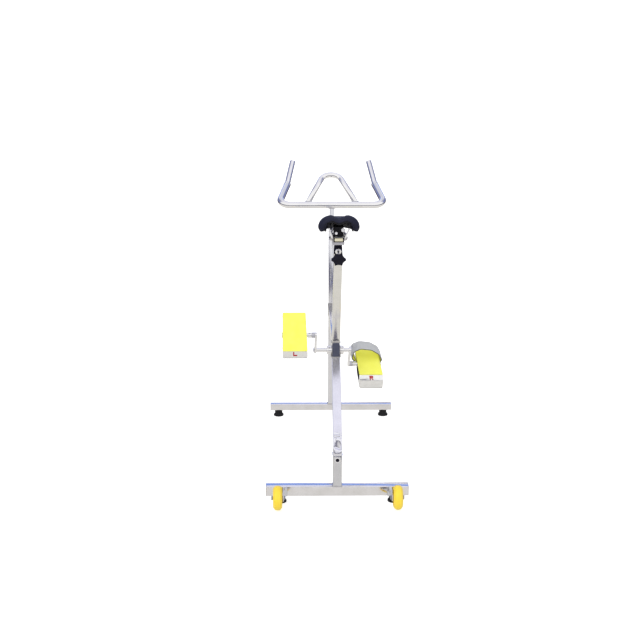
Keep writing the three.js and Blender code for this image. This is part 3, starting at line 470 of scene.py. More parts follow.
# Strut: a cold, bright tint, which is painted reflection, with the grain on its slope
stainless_strut = polished_stainless("stainless_strut", "#e2e2ea", "#f8f8ff", (-lean.strut, 0, 0))
# Handlebar, cups, axle and cranks: a mirror polish, so tight lines of light run along every round, and a
# near-white tint, which is painted light
stainless_round = polished_stainless(
    "stainless_round", "#e6e5e6", "#fdfcfc", crosswise, smooth=0.05, rough=0.12
)
# Ring, block and nuts: a satin face that spreads the light, so they show no room, and a near-white tint,
# which is painted light that keeps them pale
stainless_satin = polished_stainless(
    "stainless_satin", "#f2f1f4", "#fefdff", lengthwise, smooth=0.3, rough=0.42
)
# Saddle rails: satin chrome made only partly metal under a white colour, a painted brightness that keeps
# thin bars pale even where they face a dark saddle
# Share of metal in the rails, lowered so the white colour shows as painted brightness
rail_painted_brightness = Sizes(metallic=0.45)
chromed_rail = polished_stainless(
    "chromed_rail", "#f4f3f6", "#ffffff", lengthwise, smooth=0.25, rough=0.4
)
chromed_rail.node_tree.nodes["Principled BSDF"].inputs["Metallic"].default_value = rail_painted_brightness.metallic
print("stainless finishes:", len(bpy.data.materials))

# %% [markdown]
# Pedal boxes are folded stainless sheet with a brushed face. It looks softer than the tubes, because its
# fine scratches spread the light, and whiter, because its colour is set near white as painted brightness.
# The scratches run along the sheet, so one stretched noise draws them, where the tubes also need waves and
# a turned grain.

# %% Brushed stainless sheet
sheet_grain = Sizes(across=0.8, along=60, cloud=22, depth=0.006, smooth=0.12, rough=0.3)


def brushed_stainless(name, low, high):
    material, tree, shader, place = new_material(name)
    patterns = (sheet_grain.along, sheet_grain.across, sheet_grain.across)
    stretch = [per_metre(pattern) for pattern in patterns]
    drawn = add_node(tree, "ShaderNodeMapping", {"Vector": place, "Scale": stretch})
    lines = add_node(
        tree, "ShaderNodeTexNoise", {"Vector": drawn.outputs["Vector"], "Scale": 1, "Detail": 4}
    )
    cloud = add_node(
        tree, "ShaderNodeTexNoise", {"Vector": place, "Scale": per_metre(sheet_grain.cloud), "Detail": 2}
    )
    tint(tree, shader, cloud.outputs["Fac"], low, high)
    dull(tree, shader, lines.outputs["Fac"], sheet_grain.smooth, sheet_grain.rough)
    relief(tree, shader, lines.outputs["Fac"], sheet_grain.depth)
    shader.inputs["Metallic"].default_value = 1
    return material


# Near-white colour of the sheet: painted brightness on top of the light its scratches spread
sheet_stainless = brushed_stainless("sheet_stainless", "#ecebea", "#ffffff")
print("sheet grain, mm:", sheet_grain.across, "by", sheet_grain.along)

# %% [markdown]
# Bolts, spindles and rivets are turned steel with a zinc plating. Turning leaves fine rings, and the
# plating is greyer than the tube and a little mottled. A wave texture draws the rings, since their pitch
# is even, and noise draws the mottle. Real rings are too fine to show, so they are drawn wider.

# %% Machined steel
machined = Sizes(mottle=5, ring=1.3817, depth=0.01, smooth=0.24, rough=0.45)


def machined_steel(name, low, high):
    material, tree, shader, place = new_material(name)
    mottle = add_node(
        tree, "ShaderNodeTexNoise", {"Vector": place, "Scale": per_metre(machined.mottle), "Detail": 3}
    )
    rings = add_node(
        tree, "ShaderNodeTexWave", {"Vector": place, "Scale": wave_scale(machined.ring * MM)},
        bands_direction="X",
    )
    tint(tree, shader, mottle.outputs["Fac"], low, high)
    dull(tree, shader, mottle.outputs["Fac"], machined.smooth, machined.rough)
    relief(tree, shader, rings.outputs["Fac"], machined.depth)
    shader.inputs["Metallic"].default_value = 1
    return material


# Spindles, nuts and rivets: pale, slightly blue zinc
plated_steel = machined_steel("plated_steel", "#b4b4bc", "#e2e2ea")
# Wheel bolts: older zinc, duller and greyer
dark_steel = machined_steel("dark_steel", "#77787f", "#a9aab4")
print("turning rings, mm:", round(machined.ring, 1))

# %% [markdown]
# A weld bead is rippled metal with straw and blue heat tints that pickling never quite removes. Its
# ripples are shapes, so the material only adds the tints, in patches, and a fine crust.

# %% Weld metal
bead_colour = Sizes(patch=7, grain=1.4, depth=0.05, smooth=0.28, rough=0.5)


def cast_bead(name, low, high):
    material, tree, shader, place = new_material(name)
    patch = add_node(
        tree, "ShaderNodeTexNoise", {"Vector": place, "Scale": per_metre(bead_colour.patch), "Detail": 3}
    )
    crust = add_node(
        tree, "ShaderNodeTexNoise", {"Vector": place, "Scale": per_metre(bead_colour.grain), "Detail": 2}
    )
    tint(tree, shader, patch.outputs["Fac"], low, high)
    dull(tree, shader, patch.outputs["Fac"], bead_colour.smooth, bead_colour.rough)
    relief(tree, shader, crust.outputs["Fac"], bead_colour.depth)
    shader.inputs["Metallic"].default_value = 1
    return material


weld_metal = cast_bead("weld_metal", "#a8a294", "#dadae2")
print("heat tints in patches of, mm:", bead_colour.patch)

# %% [markdown]
# Plastics and rubber differ mostly in their grain and in how tight their shine is. Knobs and guide heads
# are glass-filled nylon from a textured mould, wheels are cast polyurethane, and feet are black rubber.
# One graph serves them all: a fine noise for the mould's grain, and a broad one for the uneven skin.

# %% Moulded plastics and rubber
plastic = Sizes(ior=1.5, broad=14)


def moulded(name, low, high, mould, depth, smooth, rough, specular=0.5):
    material, tree, shader, place = new_material(name)
    fine = add_node(tree, "ShaderNodeTexNoise", {"Vector": place, "Scale": per_metre(mould), "Detail": 3})
    broad = add_node(
        tree, "ShaderNodeTexNoise",
        {"Vector": place, "Scale": per_metre(plastic.broad * mould), "Detail": 2},
    )
    tint(tree, shader, broad.outputs["Fac"], low, high)
    dull(tree, shader, broad.outputs["Fac"], smooth, rough)
    relief(tree, shader, fine.outputs["Fac"], depth)
    shader.inputs["IOR"].default_value = plastic.ior
    shader.inputs["Specular IOR Level"].default_value = specular
    return material


# Guide heads and star knobs: near-black with a violet cast and a broad, weak shine
black_nylon = moulded(
    "black_nylon", "#0d0b18", "#181628", mould=0.9, depth=0.03, smooth=0.36, rough=0.52, specular=0.16
)
# Feet, and the sheet of painted shade on the right pedal: dull charcoal
black_rubber = moulded(
    "black_rubber", "#101012", "#1e1e22", mould=1.5, depth=0.05, smooth=0.6, rough=0.85, specular=0.3
)
# Wheel bushes: warm white, a little waxy
white_nylon = moulded("white_nylon", "#dcd8cc", "#efece2", mould=1.2, depth=0.02, smooth=0.35, rough=0.5)
# Saddle shell, piping and rail clamp: satin black
shell_plastic = moulded(
    "shell_plastic", "#0a0a11", "#14141e", mould=1.1, depth=0.04, smooth=0.34, rough=0.5, specular=0.3
)
# Cap on the beam's end: slate blue, smooth enough for a soft highlight
plug_plastic = moulded(
    "plug_plastic", "#3f4254", "#56596c", mould=1.6, depth=0.03, smooth=0.3, rough=0.5, specular=0.3
)
# Plug of the saddle mount: aged ivory
cream_nylon = moulded("cream_nylon", "#d8d1b4", "#e8e2c8", mould=1.4, depth=0.02, smooth=0.4, rough=0.6)
# Side marks on the pedals: even deep red with a low shine
red_enamel = moulded(
    "red_enamel", "#a3101f", "#bf1c2b", mould=0.8, depth=0.01, smooth=0.4, rough=0.6, specular=0.2
)
# Wheels: warm yellow with a smooth cast skin
polyurethane = moulded("polyurethane", "#fbd534", "#ffe44c", mould=2.2, depth=0.04, smooth=0.3, rough=0.5)
print("moulded finishes done, materials so far:", len(bpy.data.materials))

# %% [markdown]
# The pedal pads are closed-cell EVA foam: bright yellow, matt, with small cut cells on the face and a
# slightly paler, scuffed look where feet rub. Voronoi cells give the pits one size, as blown foam has,
# which noise would not.

# %% Closed-cell foam
cell = Sizes(size=1.6, patch=24, depth=0.16, smooth=0.65, rough=0.85, sheen=0.15)


def cut_foam(name, low, high):
    material, tree, shader, place = new_material(name)
    cells = add_node(tree, "ShaderNodeTexVoronoi", {"Vector": place, "Scale": per_metre(cell.size)})
    patches = add_node(
        tree, "ShaderNodeTexNoise", {"Vector": place, "Scale": per_metre(cell.patch), "Detail": 5}
    )
    tint(tree, shader, patches.outputs["Fac"], low, high)
    dull(tree, shader, cells.outputs["Distance"], cell.smooth, cell.rough)
    relief(tree, shader, cells.outputs["Distance"], cell.depth)
    shader.inputs["Sheen Weight"].default_value = cell.sheen
    return material


eva_foam = cut_foam("eva_foam", "#f6f658", "#ffff78")
# Lining of the strap: the same foam, one step darker, which is painted shade under the strap's arch
lining_foam = cut_foam("lining_foam", "#eeec52", "#fbfa74")
print("foam cells, mm:", cell.size)

# %% [markdown]
# The strap is woven polyester webbing over a soft lining. The weave is drawn from the strap's own length
# and width, so it follows the bends: ribs run across every 1.6 mm, crossed by finer warp threads. Drawn
# from the object's own place, the ribs would cut straight through the arch.

# %% Woven webbing
weave = Sizes(rib=1.6, warp=1.1, depth=0.35, patch=16, rough=0.85, sheen=0.25)


def webbing(name, low, high):
    material, tree, shader, place = new_material(name)
    cloth = add_node(tree, "ShaderNodeUVMap", uv_map="strip").outputs["UV"]
    ribs = add_node(
        tree, "ShaderNodeTexWave", {"Vector": cloth, "Scale": wave_scale(weave.rib)}, bands_direction="Y"
    )
    warp = add_node(
        tree, "ShaderNodeTexWave", {"Vector": cloth, "Scale": wave_scale(weave.warp)}, bands_direction="X"
    )
    both = add_node(
        tree, "ShaderNodeMath", {0: ribs.outputs["Fac"], 1: warp.outputs["Fac"]}, operation="MULTIPLY"
    )
    patches = add_node(
        tree, "ShaderNodeTexNoise", {"Vector": place, "Scale": per_metre(weave.patch), "Detail": 3}
    )
    rib_highlight_and_patches = add_node(
        tree, "ShaderNodeMath", {0: both.outputs[0], 1: patches.outputs["Fac"]}, operation="MULTIPLY"
    )
    # Colour follows the weave: painted highlight on the ribs and threads, painted shade in the gaps, varied
    # by random paler patches
    tint(tree, shader, rib_highlight_and_patches.outputs[0], low, high)
    relief(tree, shader, both.outputs[0], weave.depth)
    shader.inputs["Roughness"].default_value = weave.rough
    shader.inputs["Sheen Weight"].default_value = weave.sheen
    return material


# Edge tape of the strap: charcoal, dull and slightly fibrous; its dark line along both edges is partly a
# binding and partly painted shade at the strap's edges
dark_binding = moulded(
    "dark_binding", "#2c2c38", "#464654", mould=0.8, depth=0.08, smooth=0.6, rough=0.85, specular=0.3
)
# Strap: pale cool grey, with painted highlights on the ribs and threads and painted shade between them
grey_webbing = webbing("grey_webbing", "#bcbec2", "#f8faff")
print("ribs of the weave, mm:", weave.rib)

# %% [markdown]
# The saddle's cover is polyurethane leather over moulded foam: near-black with a cool cast, a pebbled
# grain about 2 mm across, soft shine on the pebbles and dull valleys. Smooth Voronoi cells give rounded
# pebbles with no sharp walls between them, and a broad noise lays the shallow creases of worn leather.

# %% Polyurethane leather and sewing thread
pebble = Sizes(size=2.2, crease=17, depth=0.12, crease_depth=0.35, smooth=0.38, rough=0.62, specular=0.2)


def pebbled_leather(name, low, high):
    material, tree, shader, place = new_material(name)
    pebbles = add_node(
        tree, "ShaderNodeTexVoronoi", {"Vector": place, "Scale": per_metre(pebble.size)},
        feature="SMOOTH_F1",
    )
    creases = add_node(
        tree, "ShaderNodeTexNoise", {"Vector": place, "Scale": per_metre(pebble.crease), "Detail": 4}
    )
    tint(tree, shader, creases.outputs["Fac"], low, high)
    dull(tree, shader, pebbles.outputs["Distance"], pebble.smooth, pebble.rough)
    deep = relief(tree, shader, creases.outputs["Fac"], pebble.crease_depth)
    relief(tree, shader, pebbles.outputs["Distance"], pebble.depth, deep)
    shader.inputs["Specular IOR Level"].default_value = pebble.specular
    return material


leather = pebbled_leather("polyurethane_leather", "#141526", "#232539")
# Sewing thread: dark grey and dull, so the stitches show only as a fine line
thread = moulded("polyester_thread", "#4a4a52", "#66666e", mould=0.6, depth=0.05, smooth=0.6, rough=0.8)
print("materials made:", len(bpy.data.materials))

# %% [markdown]
# Flat-sided tubes, plates and heads keep their solids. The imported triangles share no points, so a weld
# modifier joins them, and a bevel rounds their edges as a tube mill or a file leaves them. Making these
# pieces anew would gain nothing, because their shape is already right.

# %% Finishes and edges of the solids that stay
def dress(name, finish, edge, segments=2):
    solid = nodes[name]
    solid.data.materials.clear()
    solid.data.materials.append(finish)
    for polygon in solid.data.polygons:
        polygon.use_smooth = True
    weld = solid.modifiers.new("join", "WELD")
    weld.merge_threshold = weld_gap * MM
    if edge:
        soften(solid, edge, segments)


edges = Sizes(tube=0.7, cap=0.5, plate=0.6, sheet=0.5, moulded=0.9, letter=0.25, fine=0.3)
for end in ("rear", "front"):
    dress(f"{end}_base_bar", stainless_sideways, edges.tube)
    for side in SIDES:
        dress(f"{end}_end_cap_{side}", stainless_sideways, edges.cap)
for name, finish in {
    "rear_post": stainless_upright, "main_beam": stainless_forward,
    "front_mast": stainless_mast, "seat_tube": stainless_leaning, "seat_post": stainless_leaning,
    "saddle_mount": stainless_forward, "handlebar_stem": stainless_upright,
}.items():
    dress(name, finish, edges.tube)
for name in ("seat_tube_head", "mast_head"):
    dress(name, black_nylon, edges.moulded, segments=3)
for side in SIDES:
    dress(f"wheel_bracket_{side}", stainless_upright, edges.plate)
    dress(f"clamp_cheek_{side}", stainless_forward, edges.plate)
    dress(f"pedal_box_{side}", sheet_stainless, edges.sheet)
    dress(f"pedal_mark_{side}", red_enamel, edges.letter)
print("solids dressed:", sum(1 for solid in nodes.values() if solid.modifiers))

# %% [markdown]
# Each foot is a turned rubber cup with a wide rim, a stepped waist and a steel washer on top, where its
# bolt goes into the bar. Everything on it is round, so one profile turned about its axis is the whole
# shape, and the bevel modifier softens the steps.

# %% Rubber feet
foot = Sizes(
    top=18.5, waist=17, rim=22.5, rim_height=6, shoulder=12, top_plate=4, cup=15, cup_depth=3, groove=1.2,
    washer=12.5, washer_thick=1.2,
)
for end in ("rear", "front"):
    for side in SIDES:
        name = f"{end}_foot_{side}"
        low, high = node_box(name)
        middle = Vector(((low.x + high.x) / 2, (low.y + high.y) / 2, 0))
        height = high.z
        waist_top = height - foot.top_plate
        groove_at = (foot.shoulder + waist_top) / 2
        profile = [
            (foot.cup_depth, 0), (foot.cup_depth, foot.cup - foot.cup_depth), (0, foot.cup), (0, foot.rim),
            (foot.rim_height / 2, foot.rim), (foot.rim_height, foot.rim), (foot.shoulder, foot.waist),
            (groove_at - foot.groove, foot.waist), (groove_at, foot.waist - foot.groove),
            (groove_at + foot.groove, foot.waist), (waist_top, foot.waist), (waist_top, foot.top),
            (height - foot.washer_thick, foot.top), (height - foot.washer_thick, 0),
        ]
        add_piece(
            f"rubber_{name}", turned(profile, middle, UP), black_rubber, "frame", [name],
            edges.moulded,
        )
        washer = rod(foot.washer, height - foot.washer_thick, height, middle, UP, facets.turned)
        add_piece(f"washer_{name}", washer, plated_steel, "frame", edge=edges.fine)
tell("feet")

# %% [markdown]
# The wheels are cast with a crowned tread, a sunk web with six ribs, and a hub round the nylon bush. One
# side's profile is written and mirrored, so both sides stay the same. Then the ribs are laid in as slabs,
# which is simpler than cutting the web. The bolt has a hexagon head and a nut.

# %% The form of a wheel
wheel = Sizes(
    radius=48, half=17.5, shoulder=37, crown=2, crown_share=0.6, bush=11, gap=0.3, rim_inside=33, hub=16,
    web_half=9, ribs=6, rib_half=1.6, rib_sink=1.5, rib_end=0.5, bolt=4, head=8, head_length=6, side_gap=1,
    plate=4, seam=0.5,
)


def wheel_form(origin):
    bore = wheel.bush + wheel.gap
    tread = wheel.radius - wheel.crown
    edge_at = wheel.half * wheel.crown_share
    half_profile = [
        (wheel.half, bore), (wheel.half, wheel.hub), (wheel.web_half, wheel.hub),
        (wheel.web_half, wheel.rim_inside), (wheel.half, wheel.rim_inside), (wheel.half, wheel.shoulder),
        (edge_at, tread), (wheel.seam, wheel.radius - wheel.seam), (0, wheel.radius - 2 * wheel.seam),
    ]
    mirrored = [(-along, radius) for along, radius in reversed(half_profile[:-1])]
    disc = turned(half_profile + mirrored, origin, ACROSS, facets.wheel)
    near, far = wheel.hub - wheel.rib_end, wheel.rim_inside + wheel.rib_end
    outline = [
        (near, -wheel.rib_half), (far, -wheel.rib_half), (far, wheel.rib_half), (near, wheel.rib_half)
    ]
    depth = wheel.half - wheel.rib_sink
    ribs = []
    for k in range(wheel.ribs):
        angle = 2 * math.pi * k / wheel.ribs
        out = FORWARD * math.cos(angle) + UP * math.sin(angle)
        ribs.append(slab(outline, -depth, depth, origin, out, ACROSS.cross(out)))
    return together(disc, *ribs)


print("wheel across, mm:", 2 * wheel.radius)

# %% Wheels, bushes and bolts
for side, sign in SIDES.items():
    hub = joint_place(f"{side}_wheel_spin")
    body = f"{side}_wheel"
    add_piece(
        f"cast_wheel_{side}", wheel_form(hub), polyurethane, body, [f"wheel_{side}"],
        edges.moulded,
    )
    reach = wheel.half + wheel.side_gap / 2
    bore = wheel.bolt + wheel.gap
    sleeve = [(-reach, bore), (-reach, wheel.bush), (reach, wheel.bush), (reach, bore)]
    add_piece(
        f"nylon_bush_{side}", turned(sleeve, hub, ACROSS), white_nylon, body, [f"wheel_bush_{side}"],
        edges.fine,
    )
    out = ACROSS * sign
    head_from = wheel.half + wheel.side_gap
    nut_from = wheel.half + 2 * wheel.side_gap + wheel.plate + wheel.gap
    bolt = together(
        rod(wheel.bolt, -nut_from - wheel.head_length, head_from, hub, out),
        hexagon(wheel.head, head_from, head_from + wheel.head_length, hub, out),
        hexagon(wheel.head, -nut_from - wheel.head_length, -nut_from, hub, out),
    )
    add_piece(
        f"wheel_bolt_{side}", bolt, dark_steel, "frame", [f"wheel_axle_{side}"], edges.cap
    )
tell("wheels")

# %% [markdown]
# Welds give a fabricated frame its scale. A bead is a thin rope of metal laid round each joint; its
# ripples, about 2.4 mm apart, come from the pulse of the torch. The rope is swept round a closed path
# and its thickness swings with the ripples. A bump in a material could not stand out from the tubes'
# outline as these do.

# %% Weld beads round the frame's joints
bead = Sizes(radius=1.9, slim=1, pitch=2.4, swing=0.16, spacing=0.6, sides=8)


def spaced(path, spacing, loop=True):
    ends = path + [path[0]] if loop else path
    even = []
    for start, end in zip(ends, ends[1:]):
        count = max(1, round((end - start).length / spacing))
        even.extend(start.lerp(end, k / count) for k in range(count))
    return even if loop else even + [path[-1]]


def bead_along(path, radius=bead.radius):
    even = spaced(path, bead.spacing)
    ripples = max(1, round(len(even) * bead.spacing / bead.pitch))

    def thickness(i):
        return 1 + bead.swing * math.sin(2 * math.pi * ripples * i / len(even))

    return swept(even, circle(radius, bead.sides), loop=True, scale=thickness)


def bead_round_box(origin, first, second, width, height, corner, radius=bead.radius):
    outline = box_outline(width, height, corner)
    return bead_along([origin + first * x + second * y for x, y in outline], radius)


print("ripples, mm:", bead.pitch)

# %% Where the tubes stand
tube = Sizes(
    post=35, seat=33, mast=28, corner=3, beam_width=30, beam_height=58, beam_corner=4, stem=20,
    seat_post=22, bead_out=0.6, seat_ahead=4, beam_ahead=272, beam_end_height=542,
)
rear_y = node_box("rear_base_bar")[0].y
beam_way = Vector((0, math.cos(lean.fall), -math.sin(lean.fall)))
beam_up = Vector((0, math.sin(lean.fall), math.cos(lean.fall)))
beam_end = Vector((0, rear_y + tube.beam_ahead, tube.beam_end_height))
post_y = rear_y + tube.post / 2
bar_top = node_box("rear_base_bar")[1].z
post_top = node_box("rear_post")[1].z
front_bar_top = node_box("front_base_bar")[1].z
mast_low, mast_high = node_box("front_mast")
mast_y = (mast_low.y + mast_high.y) / 2
seat_cut = tube.seat / math.cos(lean.seat + lean.fall)
seat_foot = beam_end + beam_way * (tube.seat_ahead + seat_cut / 2) + beam_up * tube.beam_height / 2
beam_drop = (mast_low.y - beam_end.y) * math.tan(lean.fall)
lip_height = 2.5
print("beam end, mm:", [round(v, 1) for v in beam_end])

# %% The beads
welds = {
    "weld_post_on_bar": bead_round_box(
        Vector((0, post_y, bar_top)), ACROSS, FORWARD, tube.post, tube.post, tube.corner
    ),
    "weld_strut_on_collar": bead_round_box(
        Vector((0, post_y, post_top + lip_height)), ACROSS, FORWARD, tube.post, tube.post, tube.corner,
        bead.slim,
    ),
    "weld_seat_tube_on_beam": bead_round_box(seat_foot, ACROSS, beam_way, tube.seat, seat_cut, tube.corner),
    "weld_mast_on_bar": bead_round_box(
        Vector((0, mast_y, front_bar_top)), ACROSS, FORWARD, tube.mast, tube.mast, tube.corner
    ),
    "weld_beam_on_mast": bead_round_box(
        Vector((0, mast_low.y, beam_end.z - beam_drop)), ACROSS, beam_up, tube.beam_width, tube.beam_height,
        tube.beam_corner,
    ),
}
for name, form in welds.items():
    add_piece(name, form, weld_metal, "frame")
tell("beads")

# %% [markdown]
# The strut is one square tube bent over a former. Its outer wall has collapsed a little, as thin square
# tube does: a swelling, then a dent, then a few short wrinkles where the bend runs out. The tube is swept
# with a fine section so that these can be pushed into the wall as shapes and not only shaded.

# %% The strut's sizes and its line
strut = Sizes(
    size=35, corner=3, rise=34.94, bend=70, tilt=math.radians(45), across_step=1.8, along_step=1.2,
    lip_size=40, lip_corner=4, gap=0.3, margin=22, wall_reach=4, edge_power=4,
)
strut_way = Vector((0, math.sin(strut.tilt), math.cos(strut.tilt)))
strut_corner = Vector((0, post_y, post_top + strut.rise))
beam_under = beam_end - beam_up * (tube.beam_height / 2 + strut.gap)


def up_to_beam(point):
    return point + strut_way * ((beam_under - point).dot(beam_up) / strut_way.dot(beam_up))


strut_top = up_to_beam(strut_corner)
print("strut meets the beam at, mm:", [round(v, 1) for v in strut_top])

# %% Dents of the elbow
dent = Sizes(
    swell=2.4, swell_at=2, swell_width=10, crease_from=16, crease_to=24, facet_to=50, depth=10.2, side=1.5,
    half=15, facet_share=0.35,
)
wrinkle = Sizes(depth=1.8, start=47, end=80, pitch=9, lean=0.3, turn=9, drift=5, bend=1.5)


def bell(at, middle, width):
    return math.exp(-(((at - middle) / width) ** 2))


# Share of the dent's depth along the wall: a sharp crease, then a flat that runs back out to the arc
def flattened(along):
    if not dent.crease_from < along < dent.facet_to:
        return 0
    if along < dent.crease_to:
        fall = (along - dent.crease_from) / (dent.crease_to - dent.crease_from)
        return fall * fall * (3 - 2 * fall)
    run = (along - dent.crease_to) / (dent.facet_to - dent.crease_to)
    return 1 - dent.facet_share * run - (1 - dent.facet_share) * run * run


def outer_wall(along, across):
    shift = dent.swell * bell(along, dent.swell_at, dent.swell_width)
    side = min(abs(across - dent.side) / dent.half, 1)
    slanted = along + wrinkle.lean * across
    shift -= dent.depth * flattened(slanted) * (1 - side**strut.edge_power)
    if wrinkle.start < along < wrinkle.end:
        run = (along - wrinkle.start) / (wrinkle.end - wrinkle.start)
        bent = math.sin(across / wrinkle.turn + wrinkle.drift * run)
        wave = math.sin(2 * math.pi * slanted / wrinkle.pitch + wrinkle.bend * bent)
        shift += wrinkle.depth * wave * math.sin(math.pi * run)
    return shift


print("dent of the elbow, mm:", dent.depth)


# %% The strut itself
def strut_form():
    foot = Vector((0, post_y, post_top + lip_height))
    route = bent_path(
        [foot, strut_corner, strut_top - strut_way * strut.margin], strut.bend, facets.elbow
    )
    route = spaced(route, strut.along_step, loop=False)
    section = spaced(box_outline(strut.size, strut.size, strut.corner), strut.across_step)
    rings, along = [], 0
    for i, (place, way) in enumerate(zip(route, headings(route, False))):
        along += (place - route[max(i - 1, 0)]).length
        over = way.cross(ACROSS)
        ring = []
        for across, v in section:
            outward = min(max((-v - strut.size / 2 + strut.wall_reach) / strut.wall_reach, 0), 1)
            edge_ease = max(0, 1 - (2 * across / strut.size) ** strut.edge_power)
            push = outer_wall(along, across) * outward * edge_ease
            ring.append(place + ACROSS * across + over * (v - push))
        rings.append(ring)
    over = strut_way.cross(ACROSS)
    cut = [up_to_beam(strut_top + ACROSS * across + over * v) for across, v in section]
    return loft(rings + [cut])


collar = slab(
    box_outline(strut.lip_size, strut.lip_size, strut.lip_corner), post_top, post_top + lip_height,
    Vector((0, post_y, 0)), ACROSS, FORWARD,
)
add_piece(
    "pressed_strut", together(strut_form(), collar), stainless_strut, "frame", ["rear_strut"],
    edges.fine,
)
stretch = strut.size / math.cos(strut.tilt + lean.fall)
strut_bead = bead_round_box(strut_top, ACROSS, beam_way, strut.size, stretch, strut.corner)
add_piece("weld_strut_under_beam", strut_bead, weld_metal, "frame")
tell("strut")

# %% [markdown]
# A slate-blue plastic cap closes the beam's rear end. It has a soft edge and a shallow raised panel. Two
# slabs laid through each other are enough, because the bevel rounds both outlines.

# %% Cap on the beam's end
end_cap = Sizes(inside=1, out=2.2, corner=4.5, panel_inset=4, panel=0.7)
cap_outline = box_outline(tube.beam_width, tube.beam_height, end_cap.corner)
panel_outline = box_outline(
    tube.beam_width - 2 * end_cap.panel_inset, tube.beam_height - 2 * end_cap.panel_inset, end_cap.corner
)
cap_form = together(
    slab(cap_outline, 0, end_cap.out, beam_end, ACROSS, beam_up),
    slab(
        panel_outline, end_cap.out - end_cap.inside, end_cap.out + end_cap.panel, beam_end, ACROSS, beam_up
    ),
)
add_piece("beam_end_cap", cap_form, plug_plastic, "frame", edge=edges.moulded)
tell("cap")

# %% [markdown]
# Near the post's top a black plug fills a hole with a raised, satin ring. Both are turned about one axis
# that points backwards, so they share a centre. The ring's profile is closed, which leaves it hollow.

# %% Ring and plug in the post
ringed = Sizes(
    plug=6.5, rise=111, ring=11, ring_out=1.5, ring_in=6.9, crest=1.65, plug_out=1.5, plug_depth=4,
    plug_top=0.6,
)
hole_place = Vector((0, post_y, bar_top + ringed.rise))
back = -FORWARD
face = tube.post / 2
ring_profile = [
    (face - ringed.ring_out, ringed.ring_in), (face - ringed.ring_out, ringed.ring),
    (face + ringed.ring_out, ringed.ring), (face + ringed.crest, ringed.ring_in + ringed.ring_out),
    (face + ringed.ring_out / 2, ringed.ring_in),
]
add_piece("post_ring", turned(ring_profile, hole_place, back), stainless_satin, "frame", edge=edges.fine)
plug_face = face + ringed.ring_out
plug_profile = [
    (face - ringed.plug_depth, 0), (face - ringed.plug_depth, ringed.plug), (plug_face, ringed.plug),
    (plug_face + ringed.plug_out, ringed.plug * ringed.plug_top), (plug_face + ringed.plug_out, 0),
]
add_piece(
    "round_plug", turned(plug_profile, hole_place, back), black_nylon, "frame", ["post_plug"],
    edges.cap,
)
tell("ring and plug")

# %% [markdown]
# The bottom bracket is a turned shell across the beam with a threaded cup in each end. Each cup has six
# notches for its spanner. They could be cut with booleans, but a ring whose radius drops at the notches
# is quicker and leaves clean faces.

# %% Shell of the bottom bracket
bracket = Sizes(
    shell=17, wall=3, left=24, right=19, cup=18, cup_out=13, chamfer=2, sleeve=10, axle=8.5, gap=0.3,
    notches=6, notch_half=math.radians(8), notch_depth=3, notch_from=5, groove=1,
)
bore = bracket.shell - bracket.wall
shell_profile = [
    (-bracket.left, bore), (-bracket.left, bracket.shell), (bracket.right, bracket.shell),
    (bracket.right, bore),
]
add_piece(
    "bracket_shell", turned(shell_profile, crank_centre, ACROSS), stainless_round, "frame",
    ["bottom_bracket_shell"], edges.plate,
)
tell("shell")


# %% Notched cups and their welds
def notched_reach(angle):
    pitch = 2 * math.pi / bracket.notches
    off = abs((angle + pitch / 2) % pitch - pitch / 2)
    return bracket.cup - (bracket.notch_depth if off < bracket.notch_half else 0)


for side, sign in SIDES.items():
    out = ACROSS * sign
    seat = getattr(bracket, side)
    axle_bore = bracket.axle + bracket.gap
    outer = seat + bracket.cup_out
    profile = [
        (seat - bracket.sleeve, axle_bore), (seat - bracket.sleeve, bore - bracket.gap),
        (seat, bore - bracket.gap), (seat, bracket.cup), (seat + bracket.notch_from, bracket.cup),
        (seat + bracket.notch_from, bracket.cup - bracket.groove),
        (outer, bracket.cup - bracket.chamfer - bracket.groove), (outer, axle_bore),
    ]
    notched = loft([
        ring_about(crank_centre, out, along, notched_reach, facets.notched)
        for along in (seat + bracket.notch_from + bracket.groove, outer - bracket.groove)
    ])
    cup = together(turned(profile, crank_centre, out), notched)
    add_piece(
        f"cup_{side}", cup, stainless_round, "frame", [f"bearing_cup_{side}"], edges.fine
    )
    ring = [
        crank_centre + out * tube.beam_width / 2 + FORWARD * y + UP * z
        for y, z in circle(bracket.shell + tube.bead_out)
    ]
    add_piece(f"weld_shell_{side}", bead_along(ring), weld_metal, "frame")
tell("cups")

# %% [markdown]
# The crank arms are forged bars with round eyes. A crank is one outline raised to its thickness, with a
# raised panel along the middle as forging dies leave it. A washer and a hexagon bolt hold each arm. The
# outline is two arcs joined by straight sides, so only the two radii and the length have to be known.

# %% Outline of a crank, and the axle
crank = Sizes(
    length=170, thick=8, boss=14.5, end=11.5, left=82, right=57, phase=math.radians(142), inset=1,
    washer=12, washer_thick=1.5, bolt=8, bolt_head=5, panel_half=4.5, panel_rise=0.9, panel_from=22,
    panel_to=152, steps=20,
)


def crank_outline():
    slant = math.asin((crank.boss - crank.end) / crank.length)
    outline = []
    for middle, radius, start, stop in (
        (0, crank.boss, math.pi / 2 - slant, math.pi * 1.5 + slant),
        (crank.length, crank.end, -math.pi / 2 + slant, math.pi / 2 - slant),
    ):
        for k in range(crank.steps + 1):
            angle = start + (stop - start) * k / crank.steps
            outline.append((middle + radius * math.cos(angle), radius * math.sin(angle)))
    return outline


axle_end = crank.thick / 2 - crank.inset
add_piece(
    "axle_rod", rod(bracket.axle, -crank.left - axle_end, crank.right + axle_end, crank_centre, ACROSS),
    stainless_round, "crankset", ["crank_axle"], edges.fine,
)
tell("axle")

